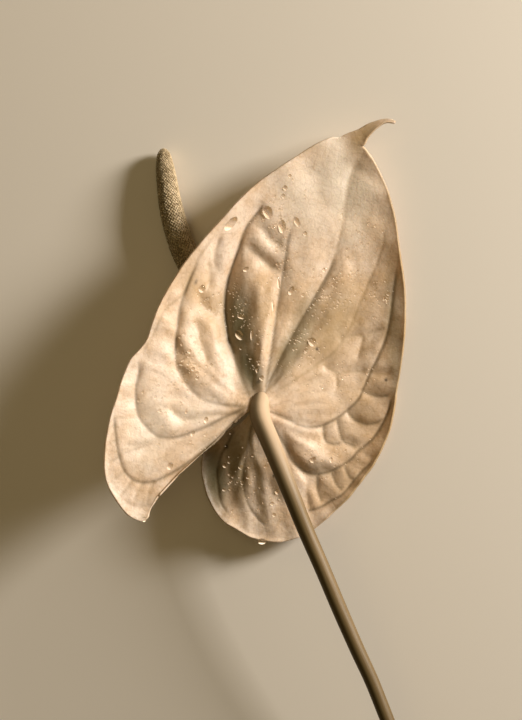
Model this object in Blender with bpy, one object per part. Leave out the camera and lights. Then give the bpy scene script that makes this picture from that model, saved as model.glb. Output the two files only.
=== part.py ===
"""A cut anthurium: stem, spathe and spadix, lying face down with the back of the spathe uppermost.

The flower is drawn in its own frame, in millimetres: X across, Y from the stem towards the tip of
the spathe, Z up from the back of the spathe, with zero where the stem meets it. One empty then lays
it on the surface: it rests on the spadix, the underside of the spathe and the cut end of the stem.
"""

import math

import bmesh
import bpy
import numpy as np
from mathutils import Euler, Matrix, Vector

MM = 0.001

# Points nearer than this are one point, in metres.
WELD = 1e-6

# The outlines are read as they look from this height over the flower, so a point that lies deeper
# is opened out by its depth.
EYE = 1200.0

# How the flower lies: its turn on the surface, and where its own zero then is.
LAY_PITCH = 1.206
LAY_ROLL = 11.404
PLACE = (-9.36, 93.48, 15.5)

# Stem: across, along, height, and radius, from under the spathe to the cut end.
STEM_WAY = (
    (0.3, 3.0, -1.7, 1.2),
    (0.5, 1.7, -1.0, 2.35),
    (0.8, -0.6, -0.25, 2.95),
    (1.4, -4.6, 1.2, 3.2),
    (2.8, -9.8, 3.3, 3.15),
    (5.5, -16.8, 5.5, 2.95),
    (11.0, -30.8, 8.8, 2.7),
    (16.5, -44.8, 11.0, 2.6),
    (22.6, -58.8, 12.4, 2.5),
    (28.5, -72.8, 13.2, 2.45),
    (34.7, -86.8, 13.6, 2.45),
    (41.1, -100.8, 13.6, 2.45),
    (60.5, -157.5, 12.4, 2.5),
    (68.1, -216.9, 9.6, 2.6),
    (61.7, -287.4, 5.4, 2.75),
)
STEM_STEP = 7.0
CUT_SLANT = 25.0

# Points drawn along a smooth curve for each of its stations, and the roundness of a swept body.
CURVE_SAMPLES = 40
ROUNDING = 3

# Spadix: across, along, height of its middle, and radius, from its foot to its tip.
SPADIX_WAY = (
    (-0.4, 1.6, -7.1, 2.9),
    (-1.4, 4.0, -8.1, 3.9),
    (-4.0, 9.2, -9.8, 4.5),
    (-8.5, 18.0, -12.1, 4.75),
    (-17.2, 35.5, -15.0, 4.85),
    (-26.1, 53.2, -17.4, 4.75),
    (-29.5, 63.7, -18.6, 4.5),
    (-31.0, 70.7, -19.4, 4.2),
    (-32.0, 77.7, -20.2, 3.8),
    (-32.8, 84.2, -21.0, 3.05),
    (-33.0, 86.8, -21.3, 2.3),
    (-33.1, 88.4, -21.5, 1.1),
)
SPADIX_STEP = 4.0

# Spathe: the point where its two lobes part, then its ribs. Each rib runs from there to the edge:
# across and along at the edge, and the height of the back at a third, at two thirds and at the edge.
SINUS = (-2.5, -3.2)
SINUS_HEIGHT = -3.2
SPATHE_THICK = 0.9
RIBS = (
    (-36.8, -34.3, 0.6, 4.0, 6.5),
    (-38.3, -39.4, 0.6, 4.2, 7.0),
    (-40.9, -41.7, 0.6, 4.2, 7.4),
    (-45.0, -39.9, 0.6, 4.2, 8.0),
    (-49.6, -34.2, 0.5, 4.0, 8.8),
    (-53.0, -26.5, 0.4, 3.8, 9.4),
    (-53.7, -17.0, 0.2, 3.4, 9.6),
    (-52.2, -8.8, 0.0, 2.8, 9.0),
    (-49.6, 0.7, -0.3, 2.0, 8.0),
    (-46.8, 10.0, -0.8, 1.2, 6.4),
    (-44.4, 14.9, -1.2, 0.6, 5.2),
    (-41.5, 18.2, -1.5, 0.2, 4.4),
    (-38.8, 21.9, -1.8, -0.2, 3.8),
    (-36.9, 28.0, -2.2, -0.8, 3.4),
    (-33.5, 35.7, -2.8, -1.8, 2.8),
    (-26.6, 47.0, -3.6, -3.4, 1.8),
    (-12.8, 63.5, -4.4, -5.2, 0.6),
    (1.7, 77.7, -4.6, -5.4, -0.8),
    (17.4, 88.2, -4.6, -5.4, -1.0),
    (26.6, 92.6, -4.6, -5.4, -1.0),
    (33.0, 91.6, -4.6, -5.4, -1.0),
    (37.6, 88.4, -4.6, -5.6, -1.2),
    (42.5, 80.6, -4.8, -6.0, -1.6),
    (46.6, 69.8, -5.0, -6.6, -2.2),
    (49.5, 52.7, -5.2, -7.3, -2.8),
    (51.4, 33.0, -5.4, -7.8, -3.2),
    (50.7, 18.3, -5.2, -7.4, -3.4),
    (48.0, 1.7, -4.8, -6.8, -3.4),
    (46.2, -9.0, -4.6, -6.4, -3.5),
    (40.3, -21.8, -4.4, -6.2, -4.0),
    (32.2, -32.7, -4.4, -6.2, -4.6),
    (19.6, -44.6, -4.6, -6.6, -6.4),
    (3.5, -48.9, -5.2, -8.0, -8.2),
    (-7.1, -44.8, -5.8, -9.2, -9.2),
    (-14.5, -39.0, -6.2, -10.2, -10.0),
    (-18.7, -29.5, -6.2, -10.6, -10.8),
    (-19.6, -22.0, -6.0, -10.2, -11.0),
    (-18.2, -14.4, -5.6, -9.0, -10.6),
)
HALF_CELLS = 22

# Near the sinus the hidden edge of the lower lobe starts clear of the upper lobe by this turn.
SINUS_OPEN = 26.0
SINUS_SHARE = 0.16

# Hooked tip: where it leaves the edge, then across, along, height and width of each step outwards.
TIP_NECK = (33.0, 91.0)
TIP_WAY = (
    (36.2, 93.6, -0.4, 4.6),
    (38.6, 95.4, 0.2, 3.1),
    (41.0, 97.0, 0.8, 2.1),
    (43.2, 98.2, 1.3, 1.3),
    (45.4, 98.7, 1.6, 0.9),
    (48.0, 97.8, 1.4, 0.6),
)

SPATHE_COLOUR = (0.78, 0.60, 0.42)
SPADIX_COLOUR = (0.62, 0.45, 0.26)
STEM_COLOUR = (0.52, 0.38, 0.20)


def clear_scene():
    for thing in list(bpy.data.objects):
        bpy.data.objects.remove(thing, do_unlink=True)


def seen(points):
    """Points (across, along, height) that look to be there from EYE, moved to where they are."""
    points = np.array(points, float)
    points[:, :2] *= (1 - points[:, 2:3] / EYE)
    return points


def mix(a, b, share):
    return (1 - share) * a + share * b


def smooth_curve(stations, count):
    """`count` rows evenly spaced along a smooth curve through the rows of `stations`, and its
    length. The curve is a centripetal Catmull-Rom spline, which doesn't overshoot at corners."""
    rows = np.array(stations, float)
    steps = np.linalg.norm(np.diff(rows[:, :3], axis=0), axis=1)
    knots = np.concatenate([[0.0], np.cumsum(np.sqrt(steps))])
    padded = np.concatenate([[2 * rows[0] - rows[1]], rows, [2 * rows[-1] - rows[-2]]])
    times = np.concatenate([[-knots[1]], knots, [2 * knots[-1] - knots[-2]]])
    drawn = []
    for t in np.linspace(0, knots[-1], CURVE_SAMPLES * len(rows)):
        span = min(int(np.searchsorted(knots, t, "right")) - 1, len(rows) - 2)
        p0, p1, p2, p3 = padded[span:span + 4]
        t0, t1, t2, t3 = times[span:span + 4]
        a1 = mix(p0, p1, (t - t0) / (t1 - t0))
        a2 = mix(p1, p2, (t - t1) / (t2 - t1))
        a3 = mix(p2, p3, (t - t2) / (t3 - t2))
        b1 = mix(a1, a2, (t - t0) / (t2 - t0))
        b2 = mix(a2, a3, (t - t1) / (t3 - t1))
        drawn.append(mix(b1, b2, (t - t1) / (t2 - t1)))
    drawn = np.array(drawn)
    run = np.concatenate([[0.0], np.cumsum(np.linalg.norm(np.diff(drawn[:, :3], axis=0), axis=1))])
    places = np.linspace(0, run[-1], count)
    return np.stack([np.interp(places, run, column) for column in drawn.T], axis=1), run[-1]


def plain_material(name, colour, roughness):
    """The part's colour and gloss on a Principled shader."""
    made = bpy.data.materials.new(name)
    made.use_nodes = True
    shader = made.node_tree.nodes["Principled BSDF"]
    shader.inputs["Base Color"].default_value = (*colour, 1.0)
    shader.inputs["Roughness"].default_value = roughness
    shader.inputs["Metallic"].default_value = 0.0
    return made


def add_object(name, mesh, material, parent):
    thing = bpy.data.objects.new(name, mesh)
    bpy.context.scene.collection.objects.link(thing)
    mesh.materials.append(material)
    mesh.shade_smooth()
    thing.parent = parent
    return thing


def swept_mesh(name, stations, step):
    """A round body along a curve: a bevelled curve object with filled ends, read as a mesh."""
    way = seen(np.array(stations)[:, :3])
    rows = np.column_stack([way, np.array(stations)[:, 3]])
    _, length = smooth_curve(rows, 2)
    points, _ = smooth_curve(rows, round(length / step) + 1)
    curve = bpy.data.curves.new(name, "CURVE")
    curve.dimensions = "3D"
    curve.bevel_depth = MM
    curve.bevel_resolution = ROUNDING
    curve.use_fill_caps = True
    spline = curve.splines.new("POLY")
    spline.points.add(len(points) - 1)
    for point, (x, y, z, radius) in zip(spline.points, points):
        point.co = (x * MM, y * MM, z * MM, 1.0)
        point.radius = radius
    guide = bpy.data.objects.new(name + "_guide", curve)
    bpy.context.scene.collection.objects.link(guide)
    mesh = bpy.data.meshes.new_from_object(guide.evaluated_get(bpy.context.evaluated_depsgraph_get()))
    bpy.data.objects.remove(guide, do_unlink=True)
    solid = bmesh.new()
    solid.from_mesh(mesh)
    bmesh.ops.remove_doubles(solid, verts=solid.verts, dist=WELD)
    bmesh.ops.recalc_face_normals(solid, faces=solid.faces)
    solid.to_mesh(mesh)
    solid.free()
    return mesh, points, length


def peduncle(material, parent):
    """The stem: round, a little thicker at both ends, rounded where it meets the spathe and cut
    on a slant at the other."""
    mesh, points, length = swept_mesh("peduncle", STEM_WAY, STEM_STEP)
    end, before = Vector(points[-1][:3]), Vector(points[-2][:3])
    along = (end - before).normalized()
    across = along.cross(Vector((0, 0, 1))).normalized()
    slanted = Matrix.Rotation(math.radians(CUT_SLANT), 3, across) @ along
    radius = points[-1][3]
    solid = bmesh.new()
    solid.from_mesh(mesh)
    bmesh.ops.bisect_plane(
        solid,
        geom=solid.verts[:] + solid.edges[:] + solid.faces[:],
        plane_co=(end - along * radius * math.tan(math.radians(CUT_SLANT))) * MM,
        plane_no=slanted,
        clear_outer=True,
    )
    bmesh.ops.holes_fill(solid, edges=[edge for edge in solid.edges if edge.is_boundary])
    solid.to_mesh(mesh)
    solid.free()
    print(f"stem length {length:.0f} mm")
    return add_object("peduncle", mesh, material, parent)


def spadix(material, parent):
    """The spike: a thick round rod that narrows to a blunt tip."""
    mesh, _, length = swept_mesh("spadix", SPADIX_WAY, SPADIX_STEP)
    print(f"spadix length {length:.0f} mm")
    return add_object("spadix", mesh, material, parent)


def rib_table(count):
    """The ribs evenly spaced along the edge of the spathe, `count` of them, and where the tip is."""
    edge = seen([(x, y, height) for x, y, _, _, height in RIBS])
    rows = np.column_stack([edge, [rib[2:4] for rib in RIBS]])
    table, length = smooth_curve(rows, count)
    near_tip = int(np.argmin(np.linalg.norm(table[:, :2] - TIP_NECK, axis=1)))
    print(f"edge of the spathe {length:.0f} mm")
    return table, near_tip


def spathe_point(table, place, reach):
    """The back of the spathe at `place`, from 0 to 1 round the edge, and `reach`, from the sinus at
    0 to the edge at 1."""
    row = place * (len(table) - 1)
    low = min(int(row), len(table) - 2)
    x, y, edge, third, two_thirds = table[low] + (row - low) * (table[low + 1] - table[low])
    opened = max(0.0, (place - 1 + SINUS_SHARE) / SINUS_SHARE)
    turn = math.radians(SINUS_OPEN) * opened * opened * (1 - reach) ** 2
    dx, dy = (x - SINUS[0]) * reach, (y - SINUS[1]) * reach
    # A cubic through the four heights, at 0, 1/3, 2/3 and 1 of the rib.
    t = 3 * reach
    height = (
        -SINUS_HEIGHT * (t - 1) * (t - 2) * (t - 3) / 6
        + third * t * (t - 2) * (t - 3) / 2
        - two_thirds * t * (t - 1) * (t - 3) / 2
        + edge * t * (t - 1) * (t - 2) / 6
    )
    return Vector((
        SINUS[0] + dx * math.cos(turn) - dy * math.sin(turn),
        SINUS[1] + dx * math.sin(turn) + dy * math.cos(turn),
        height,
    ))


def fan_place(across, up):
    """A point of a plate, across -1 to 1 and up 0 to 1, as (place, reach) on the spathe. The
    plate's lower side opens at its middle like a fan, so its two halves become the sinus edges."""
    reach = max(abs(across), up)
    if reach == 0:
        return 0.5, 0.0
    if up < -across:
        return up / reach / 4, reach
    if up < across:
        return 1 - up / reach / 4, reach
    return (across / reach + 2) / 4, reach


def spathe(material, parent):
    """The bract: a flat grid opened into a fan round the sinus, drawn out into its hooked tip, and
    given its thickness on the side of the spadix."""
    table, tip_row = rib_table(4 * HALF_CELLS + 1)
    sheet = bmesh.new()
    bmesh.ops.create_grid(sheet, x_segments=2 * HALF_CELLS, y_segments=HALF_CELLS, size=1)
    for vert in sheet.verts:
        place, reach = fan_place(vert.co.x, (vert.co.y + 1) / 2)
        vert.co = spathe_point(table, place, reach) * MM
    neck = Vector(table[tip_row][:3]) * MM
    tip_edges = [
        edge for edge in sheet.edges
        if edge.is_boundary and any((vert.co - neck).length < WELD for vert in edge.verts)
    ]
    draw_out_tip(sheet, tip_edges)
    mesh = bpy.data.meshes.new("spathe")
    bmesh.ops.recalc_face_normals(sheet, faces=sheet.faces)
    if sum(face.normal.z * face.calc_area() for face in sheet.faces) < 0:
        bmesh.ops.reverse_faces(sheet, faces=sheet.faces)
    sheet.to_mesh(mesh)
    sheet.free()
    thing = add_object("spathe", mesh, material, parent)
    wall = thing.modifiers.new("thickness", "SOLIDIFY")
    wall.thickness = SPATHE_THICK * MM
    wall.offset = -1.0
    return thing


def draw_out_tip(sheet, edges):
    """Extrude the edge at the neck step by step along the hook, narrowing as it goes."""
    ends = {vert for edge in edges for vert in edge.verts}
    middle = max(ends, key=lambda vert: sum(edge in vert.link_edges for edge in edges))
    last = middle.co / MM
    for x, y, height, width in TIP_WAY:
        centre = Vector(seen([(x, y, height)])[0])
        along = (centre - last).normalized()
        side = along.cross(Vector((0, 0, 1))).normalized()
        made = bmesh.ops.extrude_edge_only(sheet, edges=edges)["geom"]
        edges = [item for item in made if isinstance(item, bmesh.types.BMEdge)]
        verts = [item for item in made if isinstance(item, bmesh.types.BMVert)]
        verts.sort(key=lambda vert: vert.co.dot(side))
        for vert, share in zip(verts, np.linspace(-0.5, 0.5, len(verts))):
            vert.co = (centre + side * share * width) * MM
        last = centre


def lay_down():
    """The empty that carries the flower, turned and placed as it lies."""
    carrier = bpy.data.objects.new("flower", None)
    bpy.context.scene.collection.objects.link(carrier)
    carrier.rotation_euler = Euler((math.radians(LAY_PITCH), math.radians(LAY_ROLL), 0.0))
    carrier.location = Vector(PLACE) * MM
    return carrier


def main():
    clear_scene()
    carrier = lay_down()
    peduncle(plain_material("stem", STEM_COLOUR, 0.45), carrier)
    spathe(plain_material("spathe", SPATHE_COLOUR, 0.35), carrier)
    spadix(plain_material("spadix", SPADIX_COLOUR, 0.55), carrier)


main()
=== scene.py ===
# %% [markdown]
# # A cut anthurium, seen from the back of its spathe
#
# The flower lies face down. Its stem comes towards you over the heart-shaped spathe, which is one
# leaf-like sheet, puffed up between its veins and wet with drops. The spadix, the spike of tiny
# flowers, lies under the sheet and shows at the upper left. This lesson loads the plain solid model,
# then gives each part its real surface.

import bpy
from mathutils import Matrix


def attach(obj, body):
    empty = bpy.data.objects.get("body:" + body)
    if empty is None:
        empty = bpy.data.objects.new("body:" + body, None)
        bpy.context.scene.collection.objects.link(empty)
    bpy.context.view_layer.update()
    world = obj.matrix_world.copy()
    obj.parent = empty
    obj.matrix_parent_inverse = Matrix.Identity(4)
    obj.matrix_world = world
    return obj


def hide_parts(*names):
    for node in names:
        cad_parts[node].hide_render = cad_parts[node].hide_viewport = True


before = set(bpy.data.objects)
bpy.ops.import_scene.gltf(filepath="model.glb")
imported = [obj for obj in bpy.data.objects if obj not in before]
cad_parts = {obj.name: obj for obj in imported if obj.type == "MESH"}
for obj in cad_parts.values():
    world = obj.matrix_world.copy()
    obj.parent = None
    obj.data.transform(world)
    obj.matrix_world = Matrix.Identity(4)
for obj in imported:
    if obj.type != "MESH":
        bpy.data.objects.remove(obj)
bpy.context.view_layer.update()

# %% [markdown]
# ## Tools
# Most numbers below are millimetres, because that is how a flower is measured. Blender works in
# metres, so each one is multiplied by `MM` on its way in.

# %% Tools and units
import math

import bpy
import numpy as np
from mathutils import Euler, Matrix, Vector, noise
from mathutils.bvhtree import BVHTree

MM = 0.001


def deselect():
    bpy.ops.object.select_all(action="DESELECT")


def pick(thing):
    """Make one object the active and only selected one, as a click on it does."""
    deselect()
    thing.select_set(True)
    bpy.context.view_layer.objects.active = thing


def points_of(thing):
    """The object's points as rows of x, y, z."""
    flat = np.empty(len(thing.data.vertices) * 3)
    thing.data.vertices.foreach_get("co", flat)
    return flat.reshape(-1, 3)


def move_points(thing, points):
    thing.data.vertices.foreach_set("co", np.asarray(points, np.float32).ravel())
    thing.data.update()

# %% [markdown]
# ## How the flower lies
# The flower is easiest to draw in its own frame: X across, Y from the stem towards the tip of the
# spathe, Z up from its back, and zero where the stem meets it. This one matrix lays that frame on
# the table, with the same turn and place as the solid model has. Each piece is drawn in the flower's
# frame and then moved by it, so that its object can stay at the origin.

# %% Lay the flower down
LAY_TURN = Euler((math.radians(1.206), math.radians(11.404), 0.0))
LAY_PLACE = Vector((-9.36, 93.48, 15.5)) * MM
LAID = Matrix.Translation(LAY_PLACE) @ LAY_TURN.to_matrix().to_4x4()

# How far above the flower the eye is.
EYE = 1200.0


def seen(points):
    """Points (across, along, height) as they look from EYE above the flower, moved to where they
    really are: what lies deeper looks nearer to the middle."""
    points = np.array(points, float)
    points[:, :2] *= 1 - points[:, 2:3] / EYE
    return points


def lay_down(thing):
    """Move a piece drawn in the flower's frame to where it lies on the table."""
    thing.data.transform(LAID)
    thing.data.update()
    low, high = points_of(thing).min(axis=0) / MM, points_of(thing).max(axis=0) / MM
    print(f"{thing.name} lies from {low.round(1)} to {high.round(1)} mm")

# %% [markdown]
# ## Camera
# The picture looks straight down on the back of the spathe, from far enough for it to look almost
# flat. The camera therefore stands on the flower's own Z axis. Its lens is worked out from the
# height of the picture at the flower: 252 mm, on a sensor 36 mm long.

# %% Camera
VIEW_LONG = 252.0
VIEW_MIDDLE = (1.05, 14.7)
SENSOR = 36.0

deselect()
bpy.ops.object.camera_add(location=LAID @ (Vector((*VIEW_MIDDLE, EYE)) * MM), rotation=LAY_TURN)
camera = bpy.context.object
camera.name = "camera"
camera.data.sensor_width = SENSOR
camera.data.lens = SENSOR * EYE / VIEW_LONG
camera.data.clip_end = 10.0
bpy.context.scene.camera = camera
print(f"lens {camera.data.lens:.1f} mm")

# %% [markdown]
# ## Light
# One low soft lamp on the right rakes over the sheet, so each swelling has a bright and a dark side.
# A wide weak lamp overhead, a small warm one on the left and a dim warm sky keep the dark sides
# readable. The standard view transform shows a colour as it is written, which suits colours chosen
# as sRGB values.

# %% Light
# Each lamp's direction in the flower's frame, distance and width in metres, watts and colour.
LAMPS = {
    "key": ((0.81, 0.38, 0.45), 1.0, 0.27, 15.8, "#fff6ea"),
    "fill": ((-0.2, 0.1, 1.0), 1.6, 1.4, 2.4, "#f4d79a"),
    "left": ((-0.6, 0.7, 0.4), 1.2, 0.6, 1.3, "#f6dcaa"),
}
# They all aim at this place, in millimetres of the flower's frame.
LAMP_AIM = (0.0, 20.0, 0.0)


def linear(code):
    """An sRGB hex colour as the linear RGBA that Blender's sockets take."""
    channels = [int(code[i:i + 2], 16) / 255 for i in (1, 3, 5)]
    return (*[c / 12.92 if c <= 0.04045 else ((c + 0.055) / 1.055) ** 2.4 for c in channels], 1.0)


def add_lamp(name, direction, distance, size, power, colour):
    """A square soft lamp, `distance` metres from the flower in a direction of the flower's frame."""
    deselect()
    toward = (LAY_TURN.to_matrix() @ Vector(direction)).normalized()
    aim = LAID @ (Vector(LAMP_AIM) * MM)
    bpy.ops.object.light_add(type="AREA", location=aim + toward * distance)
    lamp = bpy.context.object
    lamp.name = name
    lamp.rotation_euler = toward.to_track_quat("Z", "Y").to_euler()
    lamp.data.size = size
    lamp.data.energy = power
    lamp.data.color = linear(colour)[:3]
    return lamp


for name, settings in LAMPS.items():
    lamp = add_lamp(name, *settings)
    print(f"{name} lamp: {lamp.data.energy:.1f} W, {lamp.data.size:.2f} m wide")

# %% Sky
SKY_STRENGTH = 0.08

sky = bpy.data.worlds.new("sky")
sky.use_nodes = True
background = sky.node_tree.nodes["Background"]
background.inputs["Color"].default_value = linear("#e6c890")
background.inputs["Strength"].default_value = SKY_STRENGTH
bpy.context.scene.world = sky
bpy.context.scene.view_settings.view_transform = "Standard"
print(f"sky of strength {SKY_STRENGTH}")

# %% [markdown]
# ## Table
# A pale even table, large enough to fill every view. It is a plain plane, because nothing on it
# needs to be seen but the soft shadow of the flower. The two helpers here make every material
# below: one starts a Principled material, the other adds any node to it with its settings and
# links.

# %% Table
TABLE_SIZE = 6.0


def add_node(material, kind, inputs=None, **settings):
    """Add a shader node. `settings` are its options. `inputs` gives each named or numbered socket
    a value, or another node's output to be linked to it."""
    node = material.node_tree.nodes.new("ShaderNode" + kind)
    for name, value in settings.items():
        setattr(node, name, value)
    for name, value in (inputs or {}).items():
        if isinstance(value, bpy.types.NodeSocket):
            material.node_tree.links.new(value, node.inputs[name])
        else:
            node.inputs[name].default_value = value
    return node


def new_material(name, **values):
    """A new Principled material with constants on the shader's own sockets."""
    material = bpy.data.materials.new(name)
    material.use_nodes = True
    shader = material.node_tree.nodes["Principled BSDF"]
    for socket, value in values.items():
        shader.inputs[socket.replace("_", " ")].default_value = value
    return material, shader


deselect()
bpy.ops.mesh.primitive_plane_add(size=TABLE_SIZE, location=(0, 0, 0))
table = bpy.context.object
table.name = "table"
# Matt paint: it is rough, so it takes soft shadows and mirrors nothing.
table_paint, _ = new_material("matt_paint", Base_Color=linear("#f2ece2"), Roughness=0.8)
table.data.materials.append(table_paint)
print(f"table {TABLE_SIZE:.0f} m wide")

# %% [markdown]
# ## Smooth lines
# The veins, the edge of the spathe and the stem are all drawn as a few points with a smooth line
# through them. A centripetal Catmull-Rom spline passes through every point and doesn't swing out at
# corners, which a plain Bezier through traced points would do.

# %% Smooth lines
SAMPLES_PER_STATION = 40


def mix(a, b, share):
    return (1 - share) * a + share * b


def smooth_line(stations, count=None, step=None):
    """Rows evenly spaced along a smooth line through `stations`: `count` of them, or one for about
    each `step`. Columns after the first three go along."""
    rows = np.array(stations, float)
    steps = np.linalg.norm(np.diff(rows[:, :3], axis=0), axis=1)
    knots = np.concatenate([[0.0], np.cumsum(np.sqrt(steps))])
    padded = np.concatenate([[2 * rows[0] - rows[1]], rows, [2 * rows[-1] - rows[-2]]])
    times = np.concatenate([[-knots[1]], knots, [2 * knots[-1] - knots[-2]]])
    t = np.linspace(0, knots[-1], SAMPLES_PER_STATION * len(rows))
    span = np.clip(np.searchsorted(knots, t, "right") - 1, 0, len(rows) - 2)
    p0, p1, p2, p3 = (padded[span + i] for i in range(4))
    t0, t1, t2, t3 = (times[span + i][:, None] for i in range(4))
    t = t[:, None]
    a1 = mix(p0, p1, (t - t0) / (t1 - t0))
    a2 = mix(p1, p2, (t - t1) / (t2 - t1))
    a3 = mix(p2, p3, (t - t2) / (t3 - t2))
    b1 = mix(a1, a2, (t - t0) / (t2 - t0))
    b2 = mix(a2, a3, (t - t1) / (t3 - t1))
    drawn = mix(b1, b2, (t - t1) / (t2 - t1))
    run = np.concatenate([[0.0], np.cumsum(np.linalg.norm(np.diff(drawn[:, :3], axis=0), axis=1))])
    if count is None:
        count = max(2, round(run[-1] / step) + 1)
    places = np.linspace(0, run[-1], count)
    return np.stack([np.interp(places, run, column) for column in drawn.T], axis=1)


corner = smooth_line([(0, 0, 0), (10, 0, 0), (10, 10, 0)], step=1.0)
print(f"a line round one corner, 20 mm by its stations, gets {len(corner)} rows 1 mm apart")

# %% [markdown]
# ## Spathe: its sheet
# The spathe is a heart-shaped sheet whose two lobes meet at the sinus, just behind the stem. The
# left lobe lies over the hidden edge of the right one, so the sheet can't be a flat outline that is
# filled in. It is a grid whose lower side opens at its middle, like a fan, into the two edges of the
# sinus. Each rib of the fan runs from the sinus to the edge and has its own gentle arch. The ribs'
# heights are those of the solid model, and the edge is traced more finely.

# %% Ribs of the spathe
SINUS = (-2.5, -3.2)
SINUS_HEIGHT = -3.2

# Across and along at the edge, and the height of the back at a third, at two thirds and at the edge.
RIBS = (
    (-36.8, -34.3, 0.6, 4.0, 6.5),
    (-38.3, -39.4, 0.6, 4.2, 7.0),
    (-40.9, -41.7, 0.6, 4.2, 7.4),
    (-45.0, -39.9, 0.6, 4.2, 8.0),
    (-49.6, -34.2, 0.5, 4.0, 8.8),
    (-53.0, -26.5, 0.4, 3.8, 9.4),
    (-53.7, -17.0, 0.2, 3.4, 9.6),
    (-52.2, -8.8, 0.0, 2.8, 9.0),
    (-49.6, 0.7, -0.3, 2.0, 8.0),
    (-46.8, 10.0, -0.8, 1.2, 6.4),
    (-44.4, 14.9, -1.2, 0.6, 5.2),
    (-41.5, 18.2, -1.5, 0.2, 4.4),
    (-38.8, 21.9, -1.8, -0.2, 3.8),
    (-36.9, 28.0, -2.2, -0.8, 3.4),
    (-33.5, 35.7, -2.8, -1.8, 2.8),
    (-26.6, 47.0, -3.6, -3.4, 1.8),
    (-12.8, 63.5, -4.4, -5.2, 0.6),
    (1.7, 77.7, -4.6, -5.4, -0.8),
    (17.4, 88.2, -4.6, -5.4, -1.0),
    (26.6, 92.6, -4.6, -5.4, -1.0),
    (33.0, 91.6, -4.6, -5.4, -1.0),
    (37.6, 88.4, -4.6, -5.6, -1.2),
    (42.5, 80.6, -4.8, -6.0, -1.6),
    (46.6, 69.8, -5.0, -6.6, -2.2),
    (49.5, 52.7, -5.2, -7.3, -2.8),
    (51.4, 33.0, -5.4, -7.8, -3.2),
    (50.7, 18.3, -5.2, -7.4, -3.4),
    (48.0, 1.7, -4.8, -6.8, -3.4),
    (46.2, -9.0, -4.6, -6.4, -3.5),
    (40.3, -21.8, -4.4, -6.2, -4.0),
    (32.2, -32.7, -4.4, -6.2, -4.6),
    (19.6, -44.6, -4.6, -6.6, -6.4),
    (3.5, -48.9, -5.2, -8.0, -8.2),
    (-7.1, -44.8, -5.8, -9.2, -9.2),
    (-14.5, -39.0, -6.2, -10.2, -10.0),
    (-18.7, -29.5, -6.2, -10.6, -10.8),
    (-19.6, -22.0, -6.0, -10.2, -11.0),
    (-18.2, -14.4, -5.6, -9.0, -10.6),
)
print(f"{len(RIBS)} ribs, from the left lobe round to the hidden edge")

# %% [markdown]
# The solid model's edge runs straight from rib to rib. The real edge has more waves, so it is traced
# again with more points, and takes its heights from the nearest ribs.

# %% Edge of the spathe
# As it looks from above, from the end of the left lobe round to the hidden edge.
EDGE = (
    (-38.5, -40.2), (-40.5, -41.7), (-44.8, -39.9), (-47.0, -37.8), (-49.5, -34.3), (-53.1, -27.3),
    (-53.5, -16.8), (-52.5, -9.8), (-51.1, -3.5), (-49.6, 0.7), (-48.6, 4.2), (-47.6, 7.7),
    (-46.2, 11.2), (-44.6, 14.7), (-41.5, 18.2), (-38.8, 21.7), (-37.1, 27.0), (-33.5, 35.7),
    (-29.0, 43.3), (-25.7, 48.3), (-21.1, 54.1), (-12.8, 63.5), (-3.2, 73.6), (1.7, 77.7),
    (10.7, 83.9), (17.4, 88.2), (21.9, 90.8), (26.6, 92.7), (28.6, 92.4), (30.6, 92.1),
    (33.2, 91.0), (35.6, 89.8), (37.0, 89.2), (38.1, 87.7), (40.3, 84.8), (42.5, 80.6),
    (44.8, 75.6), (46.6, 69.8), (47.9, 64.4), (49.5, 52.7), (51.3, 38.4), (51.4, 28.6),
    (50.7, 18.3), (49.5, 9.4), (48.0, 1.7), (47.0, -5.1), (46.2, -9.0), (44.5, -13.7),
    (40.3, -21.8), (36.4, -27.1), (32.2, -32.7), (25.2, -39.7), (19.6, -44.6), (14.4, -47.3),
    (8.4, -49.0), (3.5, -48.8), (-2.8, -47.3), (-7.1, -44.8), (-12.5, -41.3), (-17.0, -34.3),
    (-19.1, -27.3), (-19.6, -23.8), (-19.4, -19.6), (-18.2, -14.4),
)
print(f"edge of the spathe: {len(EDGE)} points traced")

# %% Heights along the edge
# Half as many cells as the grid has across, so the edge has four times as many rows, and one more.
HALF_CELLS = 152
EDGE_ROWS = 4 * HALF_CELLS + 1
RIB_ROWS = 600
EVEN_OUT = 9


def heights_at(points, ribs):
    """The three heights of the nearest rib for each point of the edge."""
    gaps = np.linalg.norm(points[:, None, :2] - ribs[None, :, :2], axis=2)
    return ribs[np.argmin(gaps, axis=1), 2:]


def smoothed(columns, width):
    """A running mean along the rows that keeps both ends in place."""
    padded = np.pad(columns, ((width, width), (0, 0)), mode="edge")
    return np.stack([padded[i:i + len(columns)] for i in range(2 * width + 1)]).mean(axis=0)


rib_rows = smooth_line([(x, y, edge, third, two) for x, y, third, two, edge in RIBS], count=RIB_ROWS)
edge_line = smooth_line([(x, y, 0.0) for x, y in EDGE], count=EDGE_ROWS)
edge_heights = smoothed(heights_at(edge_line, rib_rows), EVEN_OUT)
edge_seen = np.column_stack([edge_line[:, :2], edge_heights[:, 0]])
fan_table = np.column_stack([seen(edge_seen), edge_heights[:, 1:]])
print(f"{len(fan_table)} ribs drawn, one for each point of the edge")

# %% [markdown]
# The grid's points get a place round the edge, from 0 to 1, and a reach from the sinus to the edge,
# also from 0 to 1. The height along a rib is the cubic through its four known heights. The left
# edge of the sinus is bowed a little into the lobe, and the hidden edge starts clear of it.

# %% Where each point of the grid goes
# The hidden edge is turned by up to this many degrees, over this last share of the places.
SINUS_OPEN = 26.0
SINUS_SHARE = 0.16
# The left edge is bowed over this first share of the places.
BOW_SHARE = 0.12
# How far the left edge of the sinus is bowed at each reach.
BOW_REACH = (0.0, 0.07, 0.13, 0.3, 0.46, 0.65, 0.84, 0.93, 1.0)
BOW_DEPTH = (0.0, 0.9, 1.8, 1.8, 2.4, 3.1, 2.9, 1.7, 0.0)


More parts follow.
